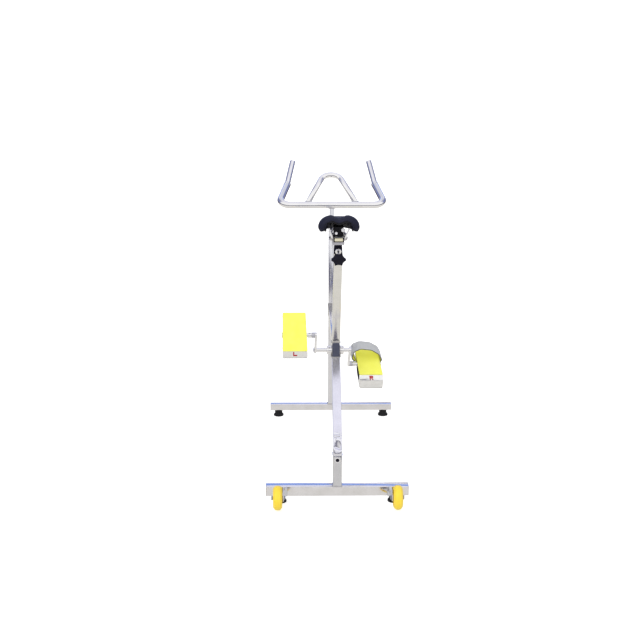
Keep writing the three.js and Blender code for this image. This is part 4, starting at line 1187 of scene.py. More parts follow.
# %% Cranks and their nuts
half = crank.thick / 2
pedal_places = {}
for side, sign in SIDES.items():
    out = ACROSS * sign
    phase = crank.phase + (0 if side == "left" else math.pi)
    along = FORWARD * math.cos(phase) + UP * math.sin(phase)
    across = ACROSS.cross(along)
    centre = crank_centre + out * getattr(crank, side)
    arm = slab(crank_outline(), -half, half, centre, along, across)
    panel = eased(
        [
            (crank.panel_from, -crank.panel_half), (crank.panel_to, -crank.panel_half),
            (crank.panel_to, crank.panel_half), (crank.panel_from, crank.panel_half),
        ],
        crank.panel_half,
    )
    raised = slab(panel, -half - crank.panel_rise, half + crank.panel_rise, centre, along, across)
    add_piece(
        f"forged_crank_{side}", together(arm, raised), stainless_round, "crankset", [f"crank_{side}"],
        edges.moulded,
    )
    washer = rod(crank.washer, half, half + crank.washer_thick, centre, out)
    head = hexagon(crank.bolt, half, half + crank.bolt_head, centre, out)
    add_piece(
        f"crank_nut_{side}", together(washer, head), plated_steel, "crankset", [f"crank_bolt_{side}"],
        edges.fine,
    )
    pedal_places[side] = centre + along * crank.length
tell("cranks")

# %% [markdown]
# A pedal spindle is a turned pin with a collar. The pedal's bearing tube has a grooved hub next to it and
# a closed end cap on the far side. Pin and tube are two pieces with a gap between them, because one turns
# with the cranks and the other with the pedal.

# %% Sizes of spindles and pedals
spindle = Sizes(
    radius=6, collar=11, collar_length=12, tube=8.5, hub=10.5, cap=11, cap_length=4, inset=1, gap=0.3,
    groove=0.8, groove_width=1.5,
)
pedal = Sizes(
    width=98, narrowing=8, toe=87, heel=65.3, top=19, pad=7, pad_edge=1.5, corner=5, bevel_run=18.8,
    to_crank=28, left=math.radians(64), right=math.radians(36), right_slant=math.radians(9),
)
slants = {"left": 0, "right": math.tan(pedal.right_slant)}
print("pedal, mm:", pedal.width, "by", pedal.toe + pedal.heel)

# %% Spindles and bearing tubes
for side, sign in SIDES.items():
    out = ACROSS * sign
    pivot = pedal_places[side]
    collar = half + spindle.gap
    collar_end = collar + spindle.collar_length
    end = half + pedal.to_crank + pedal.width - spindle.inset
    pin = [
        (-half, 0), (-half, spindle.radius), (collar, spindle.radius), (collar, spindle.collar),
        (collar_end, spindle.collar), (collar_end, spindle.radius), (end, spindle.radius), (end, 0),
    ]
    add_piece(
        f"spindle_{side}", turned(pin, pivot, out), plated_steel, "crankset", [f"pedal_spindle_{side}"],
        edges.fine,
    )
    middle = joint_place(f"{side}_pedal_spin")
    seat = pedal.width / 2 + spindle.gap + slants[side] * spindle.cap
    inner = -(pedal.width / 2 + pedal.to_crank - spindle.collar_length - 2 * spindle.gap)
    bore = spindle.radius + spindle.gap
    sleeve = [
        (pedal.width / 2, 0), (pedal.width / 2, bore), (inner, bore), (inner, spindle.hub),
        (inner + spindle.groove_width, spindle.hub),
        (inner + 2 * spindle.groove_width, spindle.hub - spindle.groove),
        (inner + 3 * spindle.groove_width, spindle.hub), (-seat, spindle.hub), (-seat, spindle.tube),
        (seat, spindle.tube), (seat, spindle.cap), (seat + spindle.cap_length, spindle.cap),
        (seat + spindle.cap_length, 0),
    ]
    add_piece(
        f"bearing_tube_{side}", turned(sleeve, middle, out), stainless_round, f"{side}_pedal",
        [f"pedal_bearing_tube_{side}"], edges.fine,
    )
tell("spindles")

# %% [markdown]
# Each pad is a slab of foam, wider at the heel, with rounded corners and a face that swells a little
# between its edges. It is made of rings that shrink towards its middle, so that the crown is real and not
# painted. Cut foam doesn't puff up, so no cloth simulation is needed.

# %% Frame and outline of a pedal
def pedal_frame(side):
    tilt = getattr(pedal, side)
    slant = Matrix(((1, -slants[side], 0, 0), (0, 1, 0, 0), (0, 0, 1, 0), (0, 0, 0, 1)))
    return Matrix.Translation(joint_place(f"{side}_pedal_spin")) @ Matrix.Rotation(tilt, 4, "X") @ slant


# Distance from the middle to the side next to the crank, which narrows towards the toe
def inner_side(y):
    rear_end = pedal.heel + pedal.bevel_run
    return pedal.width / 2 - pedal.narrowing * (y + rear_end) / (pedal.toe + rear_end)


def pad_outline(sign):
    outer = sign * pedal.width / 2
    corners = [(outer, -pedal.heel), (outer, pedal.toe)]
    corners += [(-sign * inner_side(y), y) for y in (pedal.toe, -pedal.heel)]
    return eased(corners, pedal.corner)


print("pad's inner side, mm:", round(inner_side(-pedal.heel), 1), "to", round(inner_side(pedal.toe), 1))

# %% Foam pads
pad = Sizes(crown=1.1, edge_share=0.9)
ring_size_shares = [1, 0.985, 0.96, 0.9, 0.8, 0.65, 0.45, 0.2]


def pad_form(sign):
    outline = pad_outline(sign)
    middle = sum((Vector(point) for point in outline), Vector((0, 0))) / len(outline)
    wall_top = pedal.top - 2 * pedal.pad_edge
    levels = [(1, pedal.top - pedal.pad), (1, wall_top)]
    for share in ring_size_shares:
        past_edge = max(0, (share - pad.edge_share) / (1 - pad.edge_share))
        rounding = math.sqrt(max(0, 1 - past_edge**2))
        level = wall_top + (pedal.top - pad.crown - wall_top) * rounding
        levels.append((share, level + pad.crown * (1 - share**2)))
    return loft([
        [(middle + (Vector(point) - middle) * share).to_3d() + UP * level for point in outline]
        for share, level in levels
    ])


for side, sign in SIDES.items():
    cushion = add_piece(
        f"foam_pad_{side}", placed(pad_form(sign), pedal_frame(side)), eva_foam, f"{side}_pedal",
        [f"pedal_pad_{side}"],
    )
tell("pads")

# %% [markdown]
# A thin black rubber sheet lies on the right box's side towards the crank. It is painted shade: it stands
# for the shade and dark reflection on that side, not for a part of the pedal. It follows the side, which
# narrows towards the toe, so its two ends are lofted.

# %% Dark sheet of painted shade
# A dark rubber sheet that paints the shade on the box's side next to the crank
shade_sheet = Sizes(rear=-62, front=-17, low=-26, high=9, gap=0.3, thick=3)
shade_sheet_rings = []
for y in (shade_sheet.rear, shade_sheet.front):
    near = inner_side(y) + shade_sheet.gap
    far = near + shade_sheet.thick
    ring = [(near, shade_sheet.low), (far, shade_sheet.low), (far, shade_sheet.high), (near, shade_sheet.high)]
    shade_sheet_rings.append([Vector((-x, y, z)) for x, z in ring])
add_piece(
    "side_guard", placed(loft(shade_sheet_rings), pedal_frame("right")), black_rubber, "right_pedal",
    edge=edges.moulded,
)
tell("shade_sheet")

# %% [markdown]
# Two dome rivets sit on each box's outer side, one near the heel and one near the toe. Each is a small
# turned profile, since a dome that only a bump draws would stay flat in the outline.

# %% Rivets in the pedal boxes
rivet = Sizes(radius=3, rise=1, toe_back=14, drop=9, sink=0.5)
box_top = pedal.top - pedal.pad - spindle.gap
for side, sign in SIDES.items():
    place = pedal_frame(side)
    outward = (place.to_3x3() @ ACROSS) * sign
    forms = []
    for along in (-pedal.heel + rivet.toe_back, pedal.toe - rivet.toe_back):
        spot = place @ Vector((sign * pedal.width / 2, along, box_top - rivet.drop))
        profile = [
            (-rivet.sink, 0), (-rivet.sink, rivet.radius), (rivet.rise / 3, rivet.radius),
            (rivet.rise, rivet.radius / 2), (rivet.rise, 0),
        ]
        forms.append(turned(profile, spot, outward, facets.small))
    add_piece(f"rivets_{side}", together(*forms), plated_steel, f"{side}_pedal")
tell("rivets")

# %% [markdown]
# The strap rises beside the crank, arches over the foot and comes down outside the pad. It is two strips
# on one path: grey webbing outside and a soft yellow lining inside, with a dark tape along both edges that
# is partly a binding and partly painted shade at the edges. All are swept along the path, because a remesh
# for a cloth simulation would erase so thin a strip. A map along the strip guides the weave.

# %% Path of the strap
strap = Sizes(
    width=40, thick=6, rear_edge=13, bend=20, bottom=24, foot=9, side=64, rise=86, web=2.4, web_corner=0.7,
    lining_in=1.4, cord_share=0.5,
)
arch_side_shares = [-1, -0.9, -0.47, 0.22, 0.72, 0.94]
arch_rise_shares = [0.21, 0.77, 1, 0.91, 0.56, 0.09]


def strap_path(sign):
    middle = strap.rear_edge + strap.width / 2
    lift = spindle.gap + strap.thick / 2
    inner = -(inner_side(strap.rear_edge) + lift)
    outer = pedal.width / 2 + lift
    arch = [(strap.side * x, strap.rise * z) for x, z in zip(arch_side_shares, arch_rise_shares)]
    corners = [(inner, -strap.bottom), (inner, -strap.foot), *arch, (outer, -strap.foot)]
    corners.append((outer, -strap.bottom))
    return bent_path([(sign * x, middle, z) for x, z in corners], strap.bend)


path = spaced(strap_path(SIDES["right"]), strap.web, loop=False)
place = pedal_frame("right")
print("strap stations:", len(path))


# %% Webbing, lining and edge tape
def strip_section(width, low, high, corner):
    outline = box_outline(width, high - low, corner)
    return [(point.x, point.y + (low + high) / 2) for point in outline]


def add_strip(name, section, finish):
    piece = add_piece(name, placed(swept(path, section, side=FORWARD), place), finish, "right_pedal")
    back_to_path = place.inverted()
    lengths = [0]
    for start, end in zip(path, path[1:]):
        lengths.append(lengths[-1] + (end - start).length)
    layer = piece.data.uv_layers.new(name="strip")
    for loop in piece.data.loops:
        spot = back_to_path @ (piece.data.vertices[loop.vertex_index].co / MM)
        nearest = min(range(len(path)), key=lambda i: (path[i] - spot).length_squared)
        layer.data[loop.index].uv = (spot.y, lengths[nearest])
    return piece


half_thick = strap.thick / 2
web_from = half_thick - strap.web
web = add_strip(
    "strap_webbing", strip_section(strap.width, web_from, half_thick, strap.web_corner), grey_webbing
)
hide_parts("pedal_strap_right")
lining_width = strap.width - 2 * strap.lining_in
add_strip("strap_lining", strip_section(lining_width, -half_thick, web_from, strap.web_corner), lining_foam)
# Dark cords on both edges: partly binding tape, partly painted shade along the strap's edges
for edge_name, edge_sign in {"rear": -1, "front": 1}.items():
    bound = [point + FORWARD * edge_sign * (strap.width / 2) for point in path]
    tape = swept(bound, circle(half_thick * strap.cord_share, facets.cord))
    add_piece(f"strap_binding_{edge_name}", placed(tape, place), dark_binding, "right_pedal")
tell("strap")

# %% [markdown]
# The seat tube's and the mast's clamps have a threaded steel insert and a star knob. The knob's outline
# swells six times round, its edges are eased, and a cap closes the middle. The outline is worked out as
# the distance of its edge from the middle at each angle, so rings of any size can be lofted from it.

# %% Outline of a star knob
insert = Sizes(flange=12.5, flange_length=4, body=7, touch=0.3, slide=0.5, groove=0.8)
knob = Sizes(
    tip=29, root=21, lobes=6, thick=16, edge=2, shank=4, stand_off=40, hub=10, hub_length=8, steps=144,
    cap=9, cap_rise=1.2, blunt=1.1,
)


# Distance of the star's edge from its middle: hollows are arcs that meet in blunted tips
def star_reach(angle):
    half_pitch = math.pi / knob.lobes
    off = abs((angle + half_pitch) % (2 * half_pitch) - half_pitch)
    away = (knob.tip**2 - knob.root**2) / (2 * (knob.tip * math.cos(half_pitch) - knob.root))
    hollow = away - knob.root
    reach = away * math.cos(off) - math.sqrt(max(hollow**2 - (away * math.sin(off)) ** 2, 0))
    return min(reach, knob.tip - knob.blunt)


star_level_shares = [0, 0, 0.06, 0.15, 0.85, 0.94, 1, 1, 1]
star_size_shares = [0, 0.9, 0.965, 1, 1, 0.965, 0.9, 0.55, 0]


def star_form(origin, axis, near):
    rings = []
    for level, size in zip(star_level_shares, star_size_shares):
        along = near + knob.thick * level
        rings.append(ring_about(origin, axis, along, lambda angle: star_reach(angle) * size, knob.steps))
    return loft(rings, caps=False)


print("knob across, mm:", 2 * (knob.tip - knob.blunt))


# %% Clamp inserts and star knobs
def add_clamp(name, size, inner, body):
    turning = f"{name}_knob_turn"
    origin = joint_place(turning)
    axis = Vector(joint(turning)["axis"]).normalized()
    seat = size / 2 + insert.touch
    tip = inner / 2 + insert.slide + insert.touch
    bore = knob.shank + insert.touch
    profile = [
        (tip, bore), (tip, insert.body), (seat, insert.body), (seat, insert.flange),
        (seat + insert.flange_length / 2, insert.flange),
        (seat + insert.flange_length, insert.flange - insert.groove), (seat + insert.flange_length, bore),
    ]
    add_piece(
        f"{name}_insert_ring", turned(profile, origin, axis), stainless_round, "frame",
        [f"{name}_clamp_insert"], edges.fine,
    )
    near = size / 2 + insert.flange_length + knob.stand_off
    far = near + knob.thick
    screw = rod(knob.shank, inner / 2 + insert.touch, near, origin, axis)
    hub = rod(knob.hub, near - knob.hub_length, near + knob.edge, origin, axis)
    cap = turned(
        [(far - knob.edge, 0), (far - knob.edge, knob.cap), (far + knob.cap_rise / 2, knob.cap),
         (far + knob.cap_rise, knob.cap / 2), (far + knob.cap_rise, 0)],
        origin, axis,
    )
    add_piece(
        f"{name}_star", together(star_form(origin, axis, near), hub, cap), black_nylon, body,
        [f"{name}_knob"], edges.fine,
    )
    add_piece(f"{name}_screw", screw, plated_steel, body)


add_clamp("seat", tube.seat, tube.seat_post, "seat_clamp_knob")
add_clamp("mast", tube.mast, tube.stem, "mast_clamp_knob")
tell("clamps")

# %% [markdown]
# The saddle stands on the mount's cheeks by two bent rails. They are one bar, so half of its path is
# written and mirrored, and a round section is swept along it. A long bolt with hexagon ends clamps the
# cheeks.

# %% Saddle rails
rail = Sizes(
    radius=3.5, height=17, spread=24.5, bend=8, rear_spread=38.5, rear_bend=-44, rear_end=-74,
    rear_height=64, front_bend=62, nose_spread=10, nose_end=134, nose_height=23,
)
mount = Sizes(
    behind=43, plug_width=30.5, plug_height=11.4, corner=2, inside=4, out=0.9, height=20, rim_width=39.4,
    rim_height=18.6, rim_out=0.3, rim_inside=1.5,
)
mount_low = node_box("saddle_mount")[0]
mount_place = Vector((0, mount_low.y + mount.behind, mount_low.z))
half_route = [
    (rail.rear_spread, rail.rear_end, rail.rear_height), (rail.spread, rail.rear_bend, rail.height),
    (rail.spread, rail.front_bend, rail.height), (rail.nose_spread, rail.nose_end, rail.nose_height),
]
route = [Vector(point) for point in half_route]
route += [Vector((-x, y, z)) for x, y, z in reversed(half_route)]
rail_path = bent_path([mount_place + point for point in route], rail.bend)
rails = swept(rail_path, circle(rail.radius, facets.rail))
add_piece("bent_rails", rails, chromed_rail, "saddle", ["saddle_rails"])
tell("rails")

# %% Clamp bolt and the mount's weld
clamp = Sizes(along=-2, cheek=9.5, mount=41, bolt=4, below_rail=10, head=7, head_length=4, gap=0.3)
far = clamp.mount / 2 + clamp.gap + clamp.cheek
bolt_place = mount_place + Vector((0, clamp.along, rail.height - clamp.below_rail))
add_piece(
    "clamp_bolt",
    together(
        rod(clamp.bolt, -far, far, bolt_place, ACROSS),
        hexagon(clamp.head, far, far + clamp.head_length, bolt_place, ACROSS),
        hexagon(clamp.head, -far - clamp.head_length, -far, bolt_place, ACROSS),
    ),
    plated_steel, "seat_carrier", ["saddle_clamp_bolt"], edges.fine,
)
post_cut = tube.seat_post / math.cos(lean.seat)
mount_bead = bead_round_box(mount_place, ACROSS, FORWARD, tube.seat_post, post_cut, tube.corner)
add_piece("weld_mount_on_post", mount_bead, weld_metal, "seat_carrier")
tell("clamp bolt")

# %% [markdown]
# A cream plug in a dark rim closes the mount's rear end. Under the mount a short steel block takes the
# seat post. Between the cheeks sits the black clamp that grips the rails, with bright hexagon nuts
# behind. All are small and flat-sided, so slabs with soft edges show as much as can be seen of them.

# %% Plug, rim and block of the saddle mount
plug_middle = mount_place + Vector((0, -mount.behind, mount.height / 2))
rim_form = slab(
    box_outline(mount.rim_width, mount.rim_height, mount.corner), -mount.rim_inside, mount.rim_out,
    plug_middle, ACROSS, UP,
)
add_piece("mount_end_rim", rim_form, shell_plastic, "seat_carrier")
plug_form = slab(
    box_outline(mount.plug_width, mount.plug_height, mount.corner), -mount.inside, mount.out, plug_middle,
    ACROSS, UP,
)
add_piece("mount_end_plug", plug_form, cream_nylon, "seat_carrier", edge=edges.fine)
block = Sizes(width=43, length=58, height=10, corner=3, ahead=-13)
block_form = slab(
    box_outline(block.width, block.length, block.corner), -block.height, 0,
    mount_place + FORWARD * block.ahead, ACROSS, FORWARD,
)
add_piece("mount_block", block_form, stainless_satin, "seat_carrier", edge=edges.plate)
tell("mount")

# %% Clamp that grips the rails
grip = Sizes(
    half=18.5, reach=22, low=20.3, waist=31, top=54, corner=3, teeth=8, tooth=1.2, jaw_half=17.5, nut=8.5,
    nut_thick=6, nut_side=17, nut_rise=42, nut_side_left=-9, nut_rise_left=30, small_nut=6,
    nut_lean=math.radians(14),
)
grip_way = Vector((0, -math.cos(grip.nut_lean), math.sin(grip.nut_lean)))


def grip_form():
    pieces = []
    for low, high, half in ((grip.low, grip.waist, grip.half), (grip.waist, grip.top, grip.jaw_half)):
        outline = box_outline(2 * half, 2 * grip.reach, grip.corner)
        pieces.append(slab(outline, low, high, mount_place, ACROSS, FORWARD))
    pitch = 2 * grip.reach / grip.teeth
    for k in range(grip.teeth):
        y = -grip.reach + (k + 0.5) * pitch
        for sign in (-1, 1):
            spot = mount_place + Vector((sign * grip.jaw_half, y, grip.waist))
            pieces.append(rod(grip.tooth, 0, grip.top - grip.waist, spot, UP, facets.least))
    return together(*pieces)


add_piece("rail_clamp", grip_form(), shell_plastic, "seat_carrier", edge=edges.fine)
for name, x, z, radius in (
    ("nut_right", grip.nut_side, grip.nut_rise, grip.nut),
    ("nut_left", grip.nut_side_left, grip.nut_rise_left, grip.small_nut),
):
    spot = mount_place + Vector((x, -grip.reach, z))
    add_piece(
        f"rail_clamp_{name}", hexagon(radius, -grip.nut_thick, grip.nut_thick / 2, spot, grip_way),
        stainless_satin, "seat_carrier", edge=edges.plate,
    )
tell("rail clamp")

# %% [markdown]
# The saddle is a crowned cushion with two rear lobes, a dip between them and a nose that falls to the
# front. It could be sculpted, but stations along its length say the same with a few numbers: they give
# the width, the height and the skirt, and curves through them give smooth rows. The cover's lower edge is
# piped, and two sewn lines follow the dip.

# %% Stations of the saddle
saddle = Sizes(
    rear=-83, length=262, half_width=78, skirt=47, height=62, dip=14, dip_width=19, side_wall=27,
    top_wall=8, roundness=2.7, rows=56, steps=48, piping=1.4, piping_out=0.4, stitch=3.4, stitch_gap=1.8,
    tuck=6, tuck_height=13, least=3, shell=2.6, shell_gap=0.3, stitch_radius=0.5, seam_side=19,
    groove=1.1, groove_width=2.2,
)
seam_start_share = 0.05
seam_end_share = 0.62
station_shares = [0, 0.015, 0.05, 0.11, 0.2, 0.31, 0.43, 0.55, 0.68, 0.8, 0.9, 0.96, 0.99, 1]
width_shares = [0.74, 0.84, 0.94, 0.99, 1, 0.92, 0.75, 0.57, 0.42, 0.33, 0.28, 0.24, 0.18, 0.1]
top_shares = [0.66, 0.84, 0.95, 1, 0.9, 0.76, 0.63, 0.51, 0.39, 0.28, 0.18, 0.11, 0.03, -0.08]
skirt_shares = [0.16, 0.06, 0, 0, -0.02, -0.07, -0.13, -0.19, -0.25, -0.3, -0.33, -0.34, -0.32, -0.28]
dip_shares = [1, 1, 1, 1, 0.9, 0.7, 0.45, 0.25, 0.1, 0, 0, 0, 0, 0]
wall_shares = [0.55, 0.6, 0.74, 0.95, 1, 1, 1, 0.95, 0.8, 0.7, 0.6, 0.5, 0.45, 0.4]


def curve_through(values, at):
    i = max(k for k in range(len(station_shares) - 1) if station_shares[k] <= at)
    span = station_shares[i + 1] - station_shares[i]
    t = (at - station_shares[i]) / span

    def slope(k):
        low, high = max(k - 1, 0), min(k + 1, len(values) - 1)
        return (values[high] - values[low]) / (station_shares[high] - station_shares[low])

    a, b = values[i], values[i + 1]
    return (
        a * (2 * t**3 - 3 * t**2 + 1) + b * (3 * t**2 - 2 * t**3)
        + slope(i) * span * (t**3 - 2 * t**2 + t) + slope(i + 1) * span * (t**3 - t**2)
    )


def dip_at(at, x):
    return saddle.dip * curve_through(dip_shares, at) * bell(x, 0, saddle.dip_width)


def saddle_station(at, inward=0, inward_top=0):
    wall = inward * curve_through(wall_shares, at)
    half = max(saddle.half_width * curve_through(width_shares, at) - wall, saddle.least)
    skirt = saddle.skirt + saddle.height * curve_through(skirt_shares, at)
    top = saddle.skirt + saddle.height * curve_through(top_shares, at) - inward_top
    return half, skirt, max(top - skirt, saddle.least)


print("saddle, mm:", 2 * saddle.half_width, "by", saddle.length)


# %% Rows of the cushion
def saddle_point(at, angle, inward=0, inward_top=0):
    half, skirt, rise = saddle_station(at, inward, inward_top)
    power = 2 / saddle.roundness
    x = half * math.copysign(abs(math.cos(angle)) ** power, math.cos(angle))
    z = skirt + rise * abs(math.sin(angle)) ** power
    under = max(0, 1 - (z - skirt) / saddle.tuck_height)
    z -= dip_at(at, x) * min(1, (z - skirt) / saddle.dip)
    if inward == 0:
        x -= math.copysign(min(saddle.tuck, half / 2) * under**2, math.cos(angle))
        seam = abs(abs(x) - saddle.seam_side) / saddle.groove_width
        z -= saddle.groove * math.exp(-(seam**2)) if seam_start_share < at < seam_end_share else 0
    y = saddle.rear + at * saddle.length
    return mount_place + Vector((x, y, z))


def even_shares(count):
    shares = [(1 - math.cos(math.pi * k / count)) / 2 for k in range(count + 1)]
    return [min(max(share, 0), 1) for share in shares]


# One row lies outer walls in from the cover's face and comes back inner walls in, thickened by more
def saddle_ring(at, outer=0, inner=1, more=0):
    side, top = saddle.side_wall, saddle.top_wall
    angles = [math.pi * share for share in even_shares(saddle.steps)]
    outside = [saddle_point(at, angle, outer * side, outer * top) for angle in angles]
    angles.reverse()
    inside = [saddle_point(at, angle, inner * side + more, inner * top + more) for angle in angles]
    return outside + inside


cushion = add_piece(
    "saddle_pad", loft([saddle_ring(at) for at in even_shares(saddle.rows)]), leather, "saddle",
    ["saddle_cushion"],
)
tell("saddle")

# %% [markdown]
# The cover is cloth blown up a little, so that it stretches over the foam as a real cover does. The mesh
# is first remade in even voxels, because cloth needs faces of one size. Points under the saddle are held,
# no point moves further than the cap, and the sewn lines are pressed in last.

# %% Which points may move
settle = Sizes(
    voxel=5, cap=4, frames=20, hold_above=4, press_width=2.6, least_move=0.001, pressure=4, calm=3
)


def along_saddle(spot):
    return min(max((spot.y - saddle.rear) / saddle.length, 0), 1)


def lies_outside(vertex):
    spot = vertex.co / MM - mount_place
    half, skirt, rise = saddle_station(along_saddle(spot))
    outward = Vector((spot.x / half**2, 0, (spot.z - skirt) / rise**2))
    return vertex.normal.dot(outward) > 0 and spot.z > skirt + settle.hold_above


print("points free to move:", sum(map(lies_outside, cushion.data.vertices)))


# %% Remaking the cover in even voxels
def trial_of(mesh):
    trial = bpy.data.objects.new("cover_trial", mesh)
    scene.collection.objects.link(trial)
    return trial


def result_of(trial):
    result = bpy.data.meshes.new_from_object(trial.evaluated_get(bpy.context.evaluated_depsgraph_get()))
    bpy.data.objects.remove(trial)
    return result


def remeshed(mesh):
    trial = trial_of(mesh.copy())
    voxels = trial.modifiers.new("voxels", "REMESH")
    voxels.mode = "VOXEL"
    voxels.voxel_size = settle.voxel * MM
    return result_of(trial)


print("voxels, mm:", settle.voxel)


# %% Blowing up, smoothing and sewing the cover
def blown_up(mesh):
    trial = trial_of(mesh)
    held = trial.vertex_groups.new(name="held")
    held.add([vertex.index for vertex in mesh.vertices if not lies_outside(vertex)], 1, "REPLACE")
    cover = trial.modifiers.new("cover", "CLOTH").settings
    cover.vertex_group_mass = "held"
    cover.use_pressure = True
    cover.uniform_pressure_force = settle.pressure
    cover.effector_weights.gravity = 0
    for moment in range(1, settle.frames + 1):
        scene.frame_set(moment)
    blown_mesh = result_of(trial)
    scene.frame_set(1)
    return blown_mesh


def smoothed(mesh):
    trial = trial_of(mesh)
    calm = trial.modifiers.new("calm", "SMOOTH")
    calm.factor = 0.5
    calm.iterations = settle.calm
    trial.modifiers.new("fine", "SUBSURF").levels = 1
    return result_of(trial)


def press_seams(mesh):
    for vertex in mesh.vertices:
        spot = vertex.co / MM - mount_place
        if seam_start_share < along_saddle(spot) < seam_end_share and lies_outside(vertex):
            seam = abs(abs(spot.x) - saddle.seam_side) / settle.press_width
            vertex.co -= vertex.normal * saddle.groove * math.exp(-(seam**2)) * MM


print("frames to settle:", settle.frames)

# %% Letting the cover settle
start = remeshed(cushion.data)
blown = blown_up(start.copy())
moves = [moved.co - rest.co for rest, moved in zip(start.vertices, blown.vertices)]
for rest, move in zip(start.vertices, moves):
    rest.co += move * min(1, settle.cap * MM / max(move.length, settle.least_move * MM))
print("cover moved up to, mm:", round(max(move.length for move in moves) / MM, 2))
cover_mesh = smoothed(start)
press_seams(cover_mesh)
cover_mesh.materials.clear()
cover_mesh.materials.append(leather)
for polygon in cover_mesh.polygons:
    polygon.use_smooth = True
cushion.data = cover_mesh
print("cover points:", len(cushion.data.vertices))

# %% [markdown]
# Under the cushion lies a thin black shell with ribs. Two sockets take the rails' rear ends and one takes
# both front ends. The shell uses the cushion's own rows, drawn further in, so the two can't cross.

# %% Ribs of the saddle shell
socket = Sizes(
    radius=8.5, up=26, down=8, rear_down=2, half=8.5, nose_half=17, rib=2.4, rib_deep=8, rib_side=15,
    cross=5,
)
shell_start_share = 0.012
shell_span_share = 0.96
cross_start_share = 0.06
cross_step_share = 0.09
cross_reach_share = 0.9
rib_along_shares = [0.03, 0.1, 0.17, 0.24, 0.31, 0.38, 0.45]
rib_across_shares = [-1, -0.75, -0.5, -0.2, 0.2, 0.5, 0.75, 1]


def shell_station(at):
    return saddle_station(at, saddle.side_wall + saddle.shell, saddle.top_wall + saddle.shell)


def shell_spot(at, x):
    half, skirt, rise = shell_station(at)
    share = min(abs(x) / half, 1)
    z = skirt + rise * (1 - share**saddle.roundness) ** (1 / saddle.roundness)
    return mount_place + Vector((x, saddle.rear + at * saddle.length, z - dip_at(at, x)))


def rib_between(points):
    drop = UP * socket.rib_deep
    rings = []
    for i, point in enumerate(points):
        way = (points[min(i + 1, len(points) - 1)] - points[max(i - 1, 0)]).normalized()
        side = way.cross(UP).normalized() * socket.rib / 2
        rings.append([point - side, point + side, point + side - drop, point - side - drop])
    return loft(rings)


ribs = [
    rib_between([shell_spot(at, x) for at in rib_along_shares]) for x in (-socket.rib_side, socket.rib_side)
]
for k in range(socket.cross):
    at = cross_start_share + cross_step_share * k
    reach = shell_station(at)[0] * cross_reach_share
    ribs.append(rib_between([shell_spot(at, reach * share) for share in rib_across_shares]))
print("ribs:", len(ribs))

# %% Saddle shell and its sockets
walls_in = 1 + saddle.shell_gap / saddle.side_wall
shell_shares = [shell_start_share + shell_span_share * share for share in even_shares(saddle.rows)]
bowl = loft([saddle_ring(at, walls_in, walls_in, saddle.shell) for at in shell_shares])
sockets = []
for sign in SIDES.values():
    spot = mount_place + Vector((sign * rail.rear_spread, rail.rear_end + socket.half / 2, 0))
    foot_at, head_at = rail.rear_height - socket.rear_down, rail.rear_height + socket.up / 2
    sockets.append(rod(socket.radius, foot_at, head_at, spot, UP, facets.small))
nose_place = mount_place + FORWARD * rail.nose_end
sockets.append(
    slab(
        box_outline(socket.nose_half * 2, socket.half * 2, edges.plate), rail.nose_height - socket.down,
        rail.nose_height + socket.up, nose_place, ACROSS, FORWARD,
    )
)
add_piece(
    "saddle_bowl", together(bowl, *ribs, *sockets), shell_plastic, "saddle", ["saddle_shell"],
)
tell("shell")

# %% [markdown]
# Piping and stitches lie on the settled cover, so their places are looked up on its mesh. A search tree
# finds the nearest face quickly. The piping is a swept cord, and each stitch is a short turned thread,
# because thread that stands out of its groove catches the light.

# %% Piping on the saddle
cover_tree = BVHTree.FromPolygons(
    [vertex.co.copy() for vertex in cushion.data.vertices],
    [list(face.vertices) for face in cushion.data.polygons],
)


def on_cover(point, out):
    spot, normal, _, _ = cover_tree.find_nearest(point * MM)
    return spot / MM + normal * out


edge_shares = even_shares(saddle.rows)
left_edge = [on_cover(saddle_point(at, math.pi), saddle.piping_out) for at in edge_shares]
right_edge = [on_cover(saddle_point(at, 0), saddle.piping_out) for at in reversed(edge_shares)]
rear_edge = [on_cover(saddle_point(0, math.pi * share), 0) for share in even_shares(saddle.steps)][1:-1]
piping = swept(left_edge + right_edge + rear_edge, circle(saddle.piping, facets.piping), loop=True)
add_piece("saddle_piping", piping, shell_plastic, "saddle")
tell("piping")


# %% Stitches on the saddle
def stitch(start, end):
    way = (end - start).normalized()
    radius = saddle.stitch_radius
    length = (end - start).length
    profile = [(0, 0), (radius / 2, radius), (length - radius / 2, radius), (length, 0)]
    return turned(profile, start, way, facets.least)


def seam_angle(at, sign):
    half = saddle_station(at)[0]
    share = min(saddle.seam_side / half, 1)
    angle = math.acos(share ** (saddle.roundness / 2))
    return angle if sign > 0 else math.pi - angle


stitches = []
pitch = saddle.stitch + saddle.stitch_gap
count = int((seam_end_share - seam_start_share) * saddle.length / pitch)
for sign in SIDES.values():
    for k in range(count):
        start_at = seam_start_share + k * pitch / saddle.length
        ends = []
        for at in (start_at, start_at + saddle.stitch / saddle.length):
            ends.append(on_cover(saddle_point(at, seam_angle(at, sign)), saddle.stitch_radius))
        stitches.append(stitch(*ends))
add_piece("saddle_stitches", together(*stitches), thread, "saddle")
tell("sewing")
print("stitches:", len(stitches))

# %% [markdown]
# The handlebar is one tube bent at both ends, with a slimmer horn in each end and a hoop in the middle.
# A curve with a round bevel could make it, but sweeping a circle along the same bends as the solid keeps
# the bends' radii exact. A raised ring covers each place where a horn goes in.

# %% Places on the handlebar
bar = Sizes(
    height=992, radius=15.5, side=237, bend=42, elbow_side=199, elbow_forward=157, elbow_rise=61,
    tip_side=174, tip_forward=247, tip_rise=152, horn=12.5, ring_out=1.5, ring_length=8, sink=6,
)
hoop = Sizes(radius=12.5, half_base=112, half_top=34, reach=197, tilt=math.radians(32), bend=48)
bar_place = Vector((0, mast_y, bar.height))


def bar_point(sign, side, ahead_by=0, rise=0):
    return bar_place + Vector((sign * side, ahead_by, rise))


